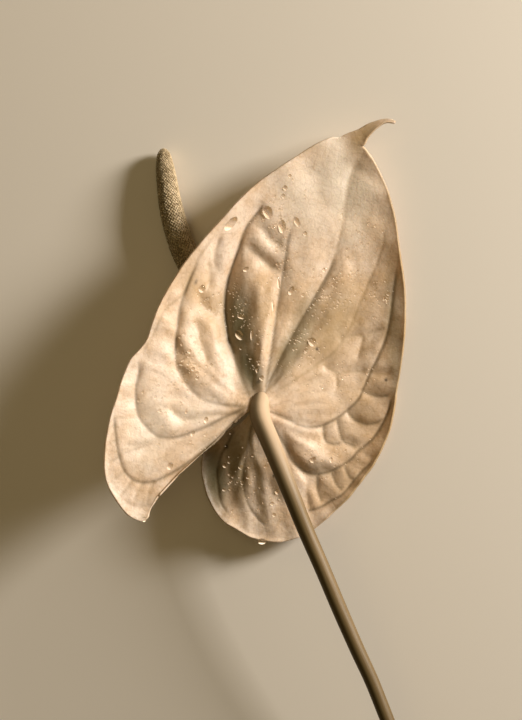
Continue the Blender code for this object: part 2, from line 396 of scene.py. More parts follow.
def fan_places(across, up):
    """The place and reach of points of a plate, across -1 to 1 and up 0 to 1."""
    reach = np.maximum(np.abs(across), up)
    safe = np.where(reach > 0, reach, 1.0)
    top = (across / safe + 2) / 4
    place = np.where(up < -across, up / safe / 4, np.where(up < across, 1 - up / safe / 4, top))
    return np.where(reach > 0, place, 0.5), reach


def fan_points(place, reach):
    """Where those points of the back of the spathe are, before its swellings."""
    row = place * (len(fan_table) - 1)
    x, y, edge, third, two_thirds = (
        np.interp(row, np.arange(len(fan_table)), column) for column in fan_table.T
    )
    opened = np.clip((place - 1 + SINUS_SHARE) / SINUS_SHARE, 0, None)
    turn = np.radians(SINUS_OPEN) * opened**2 * (1 - reach) ** 2
    dx, dy = (x - SINUS[0]) * reach, (y - SINUS[1]) * reach
    t = 3 * reach
    height = (
        -SINUS_HEIGHT * (t - 1) * (t - 2) * (t - 3) / 6
        + third * t * (t - 2) * (t - 3) / 2
        - two_thirds * t * (t - 1) * (t - 3) / 2
        + edge * t * (t - 1) * (t - 2) / 6
    )
    first = fan_table[0, :2] - SINUS
    inward = np.array([first[1], -first[0]]) / np.linalg.norm(first)
    bow = np.interp(reach, BOW_REACH, BOW_DEPTH) * np.clip(1 - place / BOW_SHARE, 0, None) ** 2
    return np.column_stack([
        SINUS[0] + dx * np.cos(turn) - dy * np.sin(turn) + bow * inward[0],
        SINUS[1] + dx * np.sin(turn) + dy * np.cos(turn) + bow * inward[1],
        height,
    ])


print(f"the middle of the edge is at {fan_points(np.array([0.5]), np.array([1.0])).round(1)[0]} mm")

# %% Open the grid into the fan
deselect()
bpy.ops.mesh.primitive_grid_add(
    x_subdivisions=2 * HALF_CELLS, y_subdivisions=HALF_CELLS, size=2.0, location=(0, 0, 0)
)
spathe = bpy.context.object
spathe.name = "spathe_sheet"
plate = points_of(spathe)
place, reach = fan_places(plate[:, 0], (plate[:, 1] + 1) / 2)
sheet = fan_points(place, reach)
print(f"spathe: {len(sheet)} points, {np.ptp(sheet, axis=0).round(1)} mm before its swellings")

# %% [markdown]
# ## Spathe: veins and swellings
# On the real sheet the veins grow slower than the tissue between them. So the veins are valleys on
# this side, and each cell between them is blown up like a small cushion. That can be copied by
# calculation: a skin under even pressure, held down along the veins and round the edge. First come
# the vein lines, as they look from above. Each has its depth and how firmly it holds the skin.

# %% Main veins
MAIN_VEINS = {
    "midrib": (0.1, 1.0, (
        (1.8, 2.1), (7.0, 13.3), (12.9, 24.5), (20.3, 37.1), (25.2, 46.2), (27.8, 54.0))),
    "midrib_top": (0.7, 0.7, (
        (20.3, 37.1), (25.2, 46.2), (29.4, 60.5), (31.5, 74.9), (33.6, 82.2), (36.8, 88.2))),
    "left_inner": (0.8, 0.8, (
        (2.8, 5.2), (4.9, 18.5), (7.0, 33.9), (9.4, 48.3), (10.8, 57.4), (12.9, 64.8))),
    "left_middle": (-3.0, 1.0, (
        (-2.8, 2.1), (-7.3, 13.3), (-10.5, 23.4), (-11.4, 36.0), (-10.1, 44.1), (-7.3, 52.3),
        (-4.4, 60.5), (0.7, 67.7), (2.8, 71.8))),
    "left_outer": (0.2, 1.0, (
        (-4.4, -1.6), (-13.6, -0.6), (-20.8, 2.1), (-25.9, 8.2), (-28.7, 15.4), (-28.5, 23.6),
        (-26.9, 33.9), (-23.8, 43.0), (-19.8, 51.3))),
    "left_loop": (0.5, 0.9, (
        (-4.0, -2.0), (-12.9, -5.9), (-17.4, -8.3), (-23.2, -10.5), (-28.5, -12.2),
        (-34.8, -11.9), (-38.3, -9.1), (-41.5, -5.1), (-42.6, 0.2), (-42.6, 6.0),
        (-41.5, 10.9), (-41.5, 14.9), (-39.7, 18.5))),
    "left_rim": (0.8, 0.4, (
        (-39.7, 18.5), (-36.0, 25.2), (-32.5, 32.2), (-26.2, 37.8), (-21.7, 48.6),
        (-16.1, 57.0), (-12.6, 61.6))),
    "sinus_loop": (0.8, 0.75, (
        (-4.9, -3.4), (-15.1, -13.6), (-24.1, -20.8), (-30.3, -24.8), (-37.4, -27.9),
        (-42.8, -27.5), (-46.4, -24.4), (-48.6, -18.5), (-49.9, -9.6), (-50.2, -3.8),
        (-49.5, 0.2))),
    "right_inner": (1.5, 0.6, (
        (7.7, 4.5), (12.6, 7.5), (22.4, 14.3), (26.4, 17.3), (32.2, 26.2), (35.2, 33.6),
        (38.1, 40.4), (42.0, 49.7), (44.0, 56.7), (44.0, 65.5))),
    "right_outer": (0.7, 0.85, (
        (4.5, -3.5), (9.8, -5.6), (13.8, -7.7), (17.8, -8.8), (21.9, -8.4), (27.2, -5.9),
        (31.3, -2.9), (35.2, 1.1), (39.1, 9.9), (42.0, 15.8), (45.0, 23.2), (46.5, 31.1),
        (47.5, 39.4), (48.5, 46.3), (48.5, 50.2))),
    "right_loop": (-0.2, 1.0, (
        (5.4, -8.0), (7.3, -11.5), (9.4, -14.7), (11.4, -19.6), (14.2, -22.8), (17.8, -25.0),
        (21.9, -25.2), (25.9, -24.0), (32.2, -20.4), (35.0, -17.3), (38.5, -14.5),
        (41.3, -11.4), (45.0, -4.8), (46.5, -1.0), (47.8, 5.9))),
    "right_rim": (0.1, 0.8, (
        (17.8, -38.1), (21.6, -37.0), (25.0, -35.0), (29.4, -32.5), (34.1, -26.9),
        (36.6, -24.1), (39.1, -21.7), (41.6, -16.1))),
    "lower_outer": (0.9, 0.75, (
        (-5.0, -5.1), (-8.3, -10.0), (-10.3, -14.0), (-12.7, -18.4), (-14.3, -24.4),
        (-13.9, -30.4), (-12.7, -36.0), (-9.9, -39.7), (-7.0, -42.1))),
    "lower_middle": (1.0, 0.72, (
        (-2.2, -8.4), (-3.0, -12.4), (-3.8, -17.1), (-4.8, -22.4), (-5.2, -26.8),
        (-4.6, -31.7), (-3.0, -36.5), (-0.2, -40.5), (2.6, -43.3), (7.0, -44.9))),
    "lower_inner": (1.0, 0.6, (
        (3.4, -20.4), (3.8, -25.2), (4.6, -29.6), (5.8, -33.7), (7.8, -35.7), (10.2, -37.3))),
}
print(f"{len(MAIN_VEINS)} main veins")

# %% [markdown]
# Shorter veins branch off the main ones and part the tissue into cells. They are traced in the same
# way, and most of them hold the skin less firmly, so they show as shallow dents.

# %% Cross veins
CROSS_VEINS = (
    (-0.2, 0.8, ((22.8, -8.4), (23.8, -13.7), (27.3, -14.7), (30.5, -13.7))),
    (-0.2, 0.8, ((27.7, -6.3), (30.1, -13.7), (32.9, -15.1), (35.7, -16.8))),
    (-0.3, 0.9, ((31.2, -3.2), (34.0, -6.3), (37.8, -7.7), (42.0, -7.0), (44.8, -4.9))),
    (-0.1, 0.8, ((36.4, 3.9), (42.0, 2.1), (47.3, 2.5))),
    (0.2, 0.5, ((39.2, 10.8), (42.0, 9.8), (47.6, 10.2))),
    (-0.3, 0.8, ((20.7, -25.9), (21.0, -30.8), (22.8, -36.0))),
    (-0.2, 0.75, ((25.9, -25.2), (28.0, -29.4), (30.5, -31.2))),
    (-0.2, 0.75, ((30.5, -22.8), (32.2, -26.3), (34.7, -27.3))),
    (0.0, 0.6, ((33.6, -20.0), (36.4, -21.7), (38.2, -22.4))),
    (0.0, 0.6, ((35.7, -16.8), (38.5, -18.6), (40.6, -19.3))),
    (0.0, 0.6, ((17.2, -29.1), (17.5, -34.3), (18.2, -37.8))),
    (0.2, 0.65, ((28.0, 9.8), (32.9, 10.5), (39.2, 10.9))),
    (0.3, 0.6, ((23.5, 12.3), (27.0, 10.2), (27.7, 7.7), (27.3, 3.5))),
    (0.6, 0.45, ((28.7, 22.4), (36.4, 23.1), (35.7, 18.2), (34.0, 12.6))),
    (0.6, 0.45, ((38.2, 23.8), (45.5, 26.3))),
    (-1.6, 0.7, ((-5.3, 56.4), (-0.7, 51.8), (4.9, 46.9), (8.0, 45.5))),
    (-1.5, 0.7, ((-2.0, 63.2), (1.2, 61.0), (4.4, 56.6), (9.6, 53.6))),
    (-1.0, 0.7, ((-20.6, 38.5), (-18.9, 32.9), (-15.4, 31.1), (-11.9, 31.1))),
    (0.6, 0.6, ((-21.7, 28.0), (-20.3, 23.5), (-18.9, 18.2), (-16.5, 11.9))),
    (-1.8, 0.7, ((-13.7, 56.7), (-15.1, 52.5), (-14.7, 47.6), (-12.6, 45.9), (-9.5, 46.2))),
    (-1.5, 0.65, ((-17.2, 49.0), (-16.8, 42.7), (-17.9, 39.2))),
    (0.4, 0.5, ((-13.3, -3.8), (-22.4, -5.6), (-27.6, -5.1), (-32.5, 0.7))),
    (0.3, 0.5, ((-4.9, -2.1), (-9.1, -3.5), (-12.6, -4.2), (-15.4, -2.8))),
    (0.6, 0.4, ((-34.7, -12.3), (-38.5, -13.7), (-44.5, -14.7), (-49.0, -13.3))),
    (0.7, 0.35, ((-42.7, -5.3), (-50.8, -5.6))),
    (0.6, 0.4, ((-34.3, -13.3), (-41.3, -15.8), (-48.7, -18.6))),
    (0.3, 0.5, ((-38.2, -36.0), (-43.0, -36.4), (-47.6, -34.3))),
    (0.5, 0.5, ((-46.5, -24.0), (-50.8, -27.3))),
    (0.5, 0.5, ((-48.3, -19.0), (-52.9, -21.5))),
    (0.5, 0.5, ((-49.4, -13.5), (-53.2, -15.0))),
    (0.6, 0.5, ((-50.0, -8.0), (-52.6, -9.2))),
    (0.5, 0.5, ((-44.0, -27.6), (-47.4, -32.0), (-49.4, -34.5))),
    (0.5, 0.5, ((-40.0, -28.0), (-42.5, -33.0), (-44.0, -39.0))),
    (0.5, 0.5, ((-36.5, -27.8), (-38.0, -32.0), (-39.0, -37.0))),
)
print(f"{len(CROSS_VEINS)} cross veins")

# %% [markdown]
# The skin is worked out on a square map, 0.36 mm to a cell. The two lobes overlap as seen from
# above, so on the map the sheet is fanned in a little round the sinus until they don't. Each step
# lets every cell move to the mean of its four neighbours, pushed up by the pressure, pulled back
# by the sheet's stiffness and held by the veins, until the whole skin is at rest.

# %% The map of the sheet
MAP_STEP = 0.36
# Bearings are drawn in by this share towards this bearing, and are counted on from this one.
FAN_IN = 0.92
FAN_MIDDLE = 38.0
SPLIT_BEARING = -130.0
VEIN_STEP = 0.15
# A vein runs out over its last millimetres, or over this share of a short one.
RUN_OUT = 9.0
RUN_OUT_SHARE = 0.25
RUN_OUT_GAP = 1.6


def bearings(points):
    """The bearing from the sinus in degrees, counted on from the hidden edge at -145 through the
    lower lobe, the right side, the tip and the left side to 226 at the end of the left lobe."""
    bearing = np.degrees(np.arctan2(points[:, 1] - SINUS[1], points[:, 0] - SINUS[0]))
    return np.where(bearing > SPLIT_BEARING, bearing, bearing + 360)


def on_map(bearing, radius):
    """Places on the map of points at a bearing and a distance from the sinus."""
    angle = np.radians(FAN_IN * (bearing - FAN_MIDDLE))
    return np.column_stack([radius * np.cos(angle), radius * np.sin(angle)])


def vein_on_map(way):
    """A smooth vein line on the map."""
    line = smooth_line([(x, y, 0.0) for x, y in way], step=VEIN_STEP)[:, :2]
    return on_map(bearings(line), np.linalg.norm(line - SINUS, axis=1))


def look(points):
    """Where points of the flower's frame look to be from EYE, the opposite of seen()."""
    return points[:, :2] / (1 - points[:, 2:3] / EYE)


far_point = np.array([[40.0, 60.0, -8.0]])
print(f"{far_point[0]} looks to be at {look(far_point)[0].round(1)} mm")

# %% Lay the sheet on the map
# The bearing to expect at each place round the edge, which tells the two lobes apart.
PLACES = (0, 0.25, 0.5, 0.75, 1)
PLACE_BEARINGS = (226, 128, 68, -10, -145)
MAP_MARGIN = 3

sheet_look = look(sheet)
sheet_radius = np.linalg.norm(sheet_look - SINUS, axis=1)
expected = np.interp(place, PLACES, PLACE_BEARINGS)
raw = np.degrees(np.arctan2(sheet_look[:, 1] - SINUS[1], sheet_look[:, 0] - SINUS[0]))
sheet_bearing = raw + 360 * np.round((expected - raw) / 360)
sheet_map = on_map(sheet_bearing, sheet_radius)

map_low = sheet_map.min(axis=0) - MAP_MARGIN * MAP_STEP
map_size = np.ceil((np.ptp(sheet_map, axis=0) + 2 * MAP_MARGIN * MAP_STEP) / MAP_STEP).astype(int)
cells_u, cells_v = np.meshgrid(
    map_low[0] + MAP_STEP * np.arange(map_size[0]),
    map_low[1] + MAP_STEP * np.arange(map_size[1]),
    indexing="ij",
)
print(f"map of the sheet: {map_size[0]} by {map_size[1]} cells")

# %% [markdown]
# Two measures are needed on the map: how far each cell is from a vein, and whether it lies inside
# the edge of the sheet. The first looks only at the cells round each point of the line, which is
# quicker than asking every cell about every line. The second compares each cell's distance to the
# sinus with that of the edge in the same direction.

# %% Distances on the map
VEIN_REACH = 4.0


def distance_to(way, most=VEIN_REACH):
    """Each map cell's distance to a line, up to `most` mm. Over the line's last few millimetres
    an extra gap is counted, so that a vein runs out instead of stopping dead."""
    line = vein_on_map(way)
    left = VEIN_STEP * np.arange(len(line))[::-1]
    run_out = min(RUN_OUT, RUN_OUT_SHARE * VEIN_STEP * len(line))
    extra = RUN_OUT_GAP * np.clip(1 - left / run_out, 0, 1) ** 2
    found = np.full(cells_u.shape, most)
    around = int(most / MAP_STEP) + 1
    near = np.round((line - map_low) / MAP_STEP).astype(int)
    for du in range(-around, around + 1):
        for dv in range(-around, around + 1):
            iu = np.clip(near[:, 0] + du, 0, map_size[0] - 1)
            iv = np.clip(near[:, 1] + dv, 0, map_size[1] - 1)
            gap = np.hypot(cells_u[iu, iv] - line[:, 0], cells_v[iu, iv] - line[:, 1])
            np.minimum.at(found, (iu, iv), gap + extra)
    return found


on_edge = reach > 1 - 1e-6
rim = np.argsort(np.where(on_edge, place, np.inf))[:EDGE_ROWS]
edge_of_map = on_map(sheet_bearing[rim], sheet_radius[rim])
cell_angle = np.degrees(np.arctan2(cells_v, cells_u))
edge_angle = np.degrees(np.arctan2(edge_of_map[:, 1], edge_of_map[:, 0]))
order = np.argsort(edge_angle)
edge_radius = np.interp(
    cell_angle, edge_angle[order], np.linalg.norm(edge_of_map, axis=1)[order], left=0, right=0
)
inside = np.hypot(cells_u, cells_v) < edge_radius
print(f"{inside.sum() * MAP_STEP**2 / 100:.0f} square cm of sheet on the map")

# %% [markdown]
# The skin comes to rest where four things balance: the pressure, its own stiffness, the veins that
# hold it down and the folds that hold it up. The stiffness sets how wide a cushion is rounded. The
# real sheet is flatter far from the sinus and in its lower lobe, so the pressure is lower there.

# %% Pressure on the skin
# How far a dent spreads in the skin, and how high it would swell with nothing to hold it.
STIFF_REACH = 3.6
SWELL = 2.1
# Far from the sinus the sheet is flatter: the swell at the radii below, as a share.
SWELL_RADIUS = (0.0, 50.0, 68.0, 100.0)
SWELL_SHARE = (1.0, 1.0, 0.45, 0.3)
# The lower lobe is flatter too: the share at these bearings.
LOBE_BEARING = (-150.0, -82.0, -64.0, 230.0)
LOBE_SHARE = (0.45, 0.45, 1.0, 1.0)
# How firmly a whole vein holds the skin, and how wide it is.
HOLD = 60.0
VEIN_HALF_WIDTH = 0.32
EDGE_RISE = 0.6
print(f"a free skin rises by {SWELL} mm, and the edge is held at {EDGE_RISE} mm")

# %% [markdown]
# A few cushions on the real flower stand out more than their size explains, and long soft folds run
# between the ribs of the left lobe and of the right side. They are added to the pressure.

# %% Bulges and folds
# Where single cells swell more or less than the rest: across, along, radius and extra height.
BULGES = (
    (1.0, 16.0, 4.0, 1.6),
    (0.0, 24.0, 5.0, 3.0),
    (-0.5, 32.0, 5.0, 2.8),
    (-1.0, 40.0, 5.0, 1.6),
    (2.2, 54.0, 4.4, 2.6),
    (1.0, 46.5, 3.8, 1.4),
    (5.6, 60.4, 3.6, 1.6),
    (-12.0, 51.5, 3.6, 1.8),
    (-21.0, 44.0, 3.6, 1.2),
    (-14.5, 36.0, 3.5, 1.2),
    (-21.5, 34.0, 3.0, 1.0),
    (-22.5, 25.0, 3.0, 0.9),
    (26.0, 22.0, 7.0, 0.6),
    (18.0, 34.0, 5.0, 0.4),
    (27.0, -20.0, 5.0, 0.8),
    (-7.0, -28.0, 12.0, -0.9),
    (0.0, -17.0, 9.0, -1.5),
    (3.0, -30.0, 6.0, -0.5),
    (37.5, 78.5, 8.0, 1.0),
)
# Folds: how high the skin is pushed, and the line along which it is.
FOLDS = (
    (4.0, ((2.0, 5.5), (2.6, 10.0), (1.6, 20.0), (0.8, 28.7), (0.4, 36.0), (0.4, 42.0))),
    (1.8, ((0.6, 9.0), (-1.6, 18.0), (-3.2, 28.0), (-3.8, 36.0), (-3.6, 42.0))),
    (-0.2, ((-1.2, 9.0), (-4.4, 18.0), (-6.6, 28.0), (-7.4, 36.0), (-7.0, 42.0))),
    (3.0, ((10.5, 7.5), (15.7, 15.4), (22.0, 23.5), (26.2, 32.2), (29.0, 41.0), (31.0, 49.0))),
    (1.5, ((8.2, 9.5), (13.2, 18.0), (18.5, 27.0), (23.0, 36.0), (26.5, 45.0))),
    (2.6, ((-39.5, 8.4), (-37.8, 4.2), (-35.3, 0.0), (-33.2, -3.9), (-30.8, -6.7), (-26.6, -8.1))),
    (2.4, ((-25.9, 29.4), (-25.2, 23.5), (-23.8, 16.5), (-21.4, 10.5), (-17.5, 6.0))),
    (1.9, ((-16.5, 26.0), (-14.5, 18.0), (-11.5, 11.0))),
    (2.8, ((14.7, -13.3), (17.5, -18.6), (21.7, -21.0), (27.0, -20.3))),
)
FOLD_HOLD = 0.5
FOLD_WIDTH = 1.8
print(f"{len(BULGES)} bulges, {len(FOLDS)} folds")

# %% Let a skin settle
SWEEPS = 320
FIRST_GUESS = 0.6
RELIEF = 0.88


def settled(target, hold, pulled):
    """Let every cell move towards rest, again and again."""
    stiff = 1 / STIFF_REACH**2
    area = MAP_STEP**2
    skin = np.where(inside, FIRST_GUESS * target, EDGE_RISE)
    for _ in range(SWEEPS):
        around = np.zeros(skin.shape)
        around[1:-1, 1:-1] = skin[2:, 1:-1] + skin[:-2, 1:-1] + skin[1:-1, 2:] + skin[1:-1, :-2]
        pushed = (around + area * (stiff * target + pulled)) / (4 + area * (stiff + hold))
        skin = np.where(inside, pushed, EDGE_RISE)
    return RELIEF * skin


print(f"a skin settles in {SWEEPS} sweeps over {inside.sum()} cells")

# %% The skin under pressure
FOLD_REACH = 6.0
# Veins that hold more firmly than this are coloured as main ones.
MAIN_FIRM = 0.7
# A gap that is wider than any that is measured.
FAR = 9.0


def swollen_skin():
    """The skin's height in each cell of the map, and its gaps to the main and the faint veins."""
    calm = np.interp(np.hypot(cells_u, cells_v), SWELL_RADIUS, SWELL_SHARE)
    calm *= np.interp(cell_angle / FAN_IN + FAN_MIDDLE, LOBE_BEARING, LOBE_SHARE)
    target = SWELL * calm
    hold = np.zeros(cells_u.shape)
    pulled = np.zeros(cells_u.shape)
    nearest = np.full(cells_u.shape, FAR)
    faint = np.full(cells_u.shape, FAR)
    for depth, firm, way in [*MAIN_VEINS.values(), *CROSS_VEINS]:
        gap = distance_to(way)
        held = HOLD * firm**3 * np.exp(-(gap / VEIN_HALF_WIDTH) ** 2)
        hold += held
        pulled += held * depth * calm
        if firm > MAIN_FIRM:
            nearest = np.minimum(nearest, gap)
        else:
            faint = np.minimum(faint, gap)
    for height, way in FOLDS:
        held = FOLD_HOLD * np.exp(-(distance_to(way, FOLD_REACH) / FOLD_WIDTH) ** 2)
        hold += held
        pulled += held * height
    for x, y, radius, extra in BULGES:
        out = np.hypot([x - SINUS[0]], [y - SINUS[1]])
        middle_u, middle_v = on_map(bearings(np.array([[x, y]])), out)[0]
        square = (cells_u - middle_u) ** 2 + (cells_v - middle_v) ** 2
        target += extra * np.exp(-square / radius**2)
    return settled(target, hold, pulled), nearest, faint


skin, vein_gap, faint_gap = swollen_skin()
print(f"swellings from {skin.min():.1f} to {skin.max():.1f} mm")

# %% [markdown]
# The skin's heights are read off the map for each point of the sheet and added to it. A fine groove
# is pressed in along each vein, the last millimetre of the edge is rolled up a little, and small
# random waves keep the cushions from looking machined. Near the sinus all of this fades out, and
# the sheet climbs to the stem there, as the real one grows out of it.

# %% Read the map
GROOVE_WIDTH = 0.46


def read_map(values, points):
    """Values of the map between its cells, at points on it."""
    at = (points - map_low) / MAP_STEP
    low = np.clip(at.astype(int), 0, map_size - 2)
    fu, fv = (at - low).T
    iu, iv = low.T
    return (
        values[iu, iv] * (1 - fu) * (1 - fv)
        + values[iu + 1, iv] * fu * (1 - fv)
        + values[iu, iv + 1] * (1 - fu) * fv
        + values[iu + 1, iv + 1] * fu * fv
    )


rib_length = sheet_radius / np.where(reach > 0, reach, 1.0)
edge_gap = (1 - reach) * rib_length
vein_near = read_map(np.exp(-((vein_gap / GROOVE_WIDTH) ** 2)), sheet_map)
faint_near = read_map(np.exp(-((faint_gap / GROOVE_WIDTH) ** 2)), sheet_map)
print(f"{(vein_near > 0.5).sum()} points lie in a main vein, {(faint_near > 0.5).sum()} in a faint one")

# %% Grooves and rolled edge
GROOVE_DEPTH = 0.22
FAINT_GROOVE_DEPTH = 0.11
ROLL_WIDTH = 0.9
ROLL_HEIGHT = 0.3
# The roll is lower on the right side: its share at these bearings.
ROLL_BEARING = (-30.0, 0.0, 66.0, 85.0)
ROLL_SHARE = (1.0, 0.35, 0.35, 1.0)
# Where the tail leaves the sheet, and how far from there the edge isn't rolled.
NECK = (33.2, 90.8)
NECK_CLEAR = 4.5


def look_gap(x, y):
    """How far each point of the sheet looks to be from a place."""
    return np.hypot(sheet_look[:, 0] - x, sheet_look[:, 1] - y)


rise = read_map(skin, sheet_map) - GROOVE_DEPTH * vein_near - FAINT_GROOVE_DEPTH * faint_near
roll = ROLL_HEIGHT * np.interp(sheet_bearing, ROLL_BEARING, ROLL_SHARE)
roll *= np.clip(look_gap(*NECK) / NECK_CLEAR - 1, 0, 1)
rise += roll * np.exp(-((edge_gap / ROLL_WIDTH) ** 2))
print(f"grooved and rolled, the sheet swells by up to {rise.max():.1f} mm")

# %% Waves and collars
# Small random waves: their length, how much longer they are along a rib, and their height.
WAVES = ((6.0, 1.7, 0.8), (2.6, 1.5, 0.22))
# At this distance from the sinus the waves have their real length across the ribs.
WAVE_RADIUS = 45.0
# Swellings fade out this close to the sinus.
CALM_RADIUS = 5.0
# Deep veins start this far from the sinus, so that the sheet stays clear of the spadix.
DEEP_FROM = 8.0
DEEP_OVER = 18.0
# Where the stem joins, the sheet climbs up to it: across, along, width and height.
COLLARS = ((1.6, 2.4, 2.6, 0.9), (-3.8, -2.6, 3.6, 2.3), (3.8, -1.0, 2.8, 0.8))

for length, stretch, height in WAVES:
    across = np.radians(sheet_bearing) * WAVE_RADIUS / length
    along = sheet_radius / (length * stretch)
    rise += height * np.array([noise.noise((a, b, length)) for a, b in zip(across, along)])
deep = np.clip((sheet_radius - DEEP_FROM) / DEEP_OVER, 0, 1)
rise *= np.where(rise < 0, deep, np.clip(sheet_radius / CALM_RADIUS, 0, 1))
for x, y, width, height in COLLARS:
    rise += height * np.exp(-((look_gap(x, y) / width) ** 2))
sheet[:, 2] += rise
move_points(spathe, sheet * MM)
print(f"the sheet now swells by up to {rise.max():.1f} mm")

# %% [markdown]
# The material will need to know where the veins are and how the fibres run. Each point keeps that
# as an attribute, which goes along with it wherever it is moved later.

# %% Keep the veins and the fan


def keep(thing, name, values):
    """Keep a number, or three, with each point of a mesh, for its material to read."""
    values = np.asarray(values, np.float32)
    if values.ndim == 1:
        thing.data.attributes.new(name, "FLOAT", "POINT").data.foreach_set("value", values)
    else:
        kept = thing.data.attributes.new(name, "FLOAT_VECTOR", "POINT")
        kept.data.foreach_set("vector", values.ravel())


keep(spathe, "vein", vein_near)
keep(spathe, "faint", faint_near)
keep(spathe, "fan", np.column_stack([sheet_bearing, sheet_radius, 0 * sheet_radius]))
print(f"{len(spathe.data.attributes)} attributes on the sheet")

# %% [markdown]
# A few dark specks of dust stick to the wet sheet. They are kept with the points in the same way.

# %% Specks
SPECKS = ((-21.7, 42.0), (0.0, 7.0), (-10.9, -15.8), (5.6, -25.9), (44.8, 7.7), (20.6, 18.5))
SPECK_SIZE = 0.55
speck = np.zeros(len(sheet))
for x, y in SPECKS:
    speck = np.maximum(speck, np.exp(-((look_gap(x, y) / SPECK_SIZE) ** 2)))
keep(spathe, "speck", speck)
print(f"{len(SPECKS)} specks")

# %% [markdown]
# ## Spathe: its colour, and painted light and shade
# The tissue isn't one colour, and some of its areas also paint light and shade. In the deep hollows
# and in the stem's shadow on the lower lobe it is greener and darker: partly green tissue, partly
# painted shade. Over the folds and towards the right edge it is tan: partly tan tissue, partly
# painted shade where the sheet turns from the lamp. Near the tip and on the left lobe it is pale:
# partly pale tissue, partly painted light where the sheet faces the lamp. Each area is a soft
# ellipse with its own place, size, turn and strength, as if sprayed with an airbrush. The strengths
# are kept with the points, so that they follow the sheet, which a pattern in space wouldn't do.

# %% Green, tan and pale areas, partly painted light and shade
# Across, along, radius across, radius along, turn in degrees, and strength.
GREEN_AND_SHADE_AREAS = (
    (-6.8, 27.0, 5.5, 14.0, 6, 1.0), (-3.6, 12.5, 4.2, 10.5, 18, 1.0),
    (-9.0, 36.0, 3.0, 9.0, 0, 0.5), (6.0, 12.0, 3.0, 10.0, -30, 0.4),
    (12.5, 20.0, 4.5, 15.0, -30, 0.7), (17.0, 32.0, 4.0, 9.0, -25, 0.45),
    (-15.0, -26.0, 5.0, 12.0, 8, 1.0), (-8.0, -22.0, 4.5, 14.0, 8, 0.7),
    (-1.0, -20.0, 3.0, 12.0, 8, 0.35), (27.0, 27.0, 6.0, 15.0, -28, 0.3),
    (7.0, -14.0, 4.0, 7.0, 30, 0.4), (20.0, -23.5, 7.0, 2.5, 0, 0.35),
    (47.8, 22.0, 3.0, 28.0, 4, 0.5),
)
TAN_AND_SHADE_AREAS = (
    (46.0, 30.0, 7.0, 40.0, 6, 0.45), (36.0, -6.0, 14.0, 24.0, -25, 0.6),
    (42.0, 55.0, 5.0, 20.0, 12, 0.3), (26.0, 24.0, 14.0, 24.0, -30, 0.8),
    (-19.0, 36.0, 8.0, 16.0, 25, 0.85), (-20.5, 17.0, 6.0, 11.0, 0, 0.5),
    (30.0, -28.0, 14.0, 8.0, 40, 0.75), (12.0, 30.0, 5.0, 24.0, -15, 0.5),
    (2.5, 32.0, 4.5, 15.0, 0, 0.8),
)
PALE_AND_LIT_AREAS = (
    (31.0, 76.0, 11.0, 20.0, 20, 1.0), (16.0, 72.0, 10.0, 14.0, 30, 0.6),
    (-38.0, -10.0, 8.0, 14.0, 0, 0.5), (-24.0, -4.0, 10.0, 5.0, 0, 0.5),
)


def area_strength(areas):
    """How strongly each point of the sheet lies in one of the areas."""
    strength = np.zeros(len(sheet))
    for x, y, wide, long, turn, most in areas:
        dx, dy = sheet_look[:, 0] - x, sheet_look[:, 1] - y
        angle = math.radians(turn)
        a = (dx * math.cos(angle) + dy * math.sin(angle)) / wide
        b = (dy * math.cos(angle) - dx * math.sin(angle)) / long
        strength = np.maximum(strength, most * np.exp(-((a**2 + b**2) ** 1.5)))
    return strength


# Pale areas: pale tissue and, on the left lobe and near the tip, painted light.
keep(spathe, "pale", area_strength(PALE_AND_LIT_AREAS))
print(f"{len(GREEN_AND_SHADE_AREAS)} green, {len(TAN_AND_SHADE_AREAS)} tan and {len(PALE_AND_LIT_AREAS)} pale areas")

# %% Tan streak, and a tan edge painted as shade
# A tan streak runs from inside the sheet through the neck and along the tail: across, along, strength.
TAN_STREAK = (
    (36.8, 76.0, 0.05), (35.8, 84.0, 0.5), (34.4, 90.5, 0.9), (36.9, 93.9, 1.0), (39.4, 96.0, 0.9),
    (41.5, 97.2, 0.75), (43.9, 98.3, 0.55), (46.6, 98.5, 0.3), (48.1, 97.8, 0.1),
)
STREAK_WIDTH = 3.6
STREAK_GREEN = 0.3
# The very edge is painted tan and darker on the right side, as painted shade where the rim turns
# from the lamp: its share at these bearings.
EDGE_SHADE_WIDTH = 0.8
EDGE_SHADE_BEARING = (-70.0, -45.0, 58.0, 70.0)
EDGE_SHADE_SHARE = (0.0, 1.0, 1.0, 0.0)


def streak_strength(points):
    """The streak's strength at points as they look from above."""
    line = smooth_line([(x, y, 0.0, most) for x, y, most in TAN_STREAK], step=1.0)
    gaps = np.linalg.norm(points[:, None, :2] - line[None, :, :2], axis=2)
    return (line[:, 3] * np.exp(-((gaps / STREAK_WIDTH) ** 2))).max(axis=1)


# Painted shade along the right edge, laid into the tan together with the streak.
edge_painted_shade = np.exp(-((edge_gap / EDGE_SHADE_WIDTH) ** 2))
edge_painted_shade *= np.interp(sheet_bearing, EDGE_SHADE_BEARING, EDGE_SHADE_SHARE)
streak_and_edge_shade = np.maximum(streak_strength(sheet_look), edge_painted_shade)
# Green and tan areas, partly painted shade: darker in the hollows, in the stem's shadow and where the
# sheet turns from the lamp.
keep(spathe, "green_and_shade", np.maximum(area_strength(GREEN_AND_SHADE_AREAS), STREAK_GREEN * streak_and_edge_shade))
keep(spathe, "tan", np.maximum(area_strength(TAN_AND_SHADE_AREAS), streak_and_edge_shade))
print(f"{(streak_and_edge_shade > 0.5).sum()} points in the tan streak or edge")

# %% [markdown]
# ## Spathe: its hooked tip
# The sheet ends in a thin tail that curls to the right. It is drawn out of the edge at the neck, by
# extruding those edges step by step along a smooth line and narrowing them as they go.

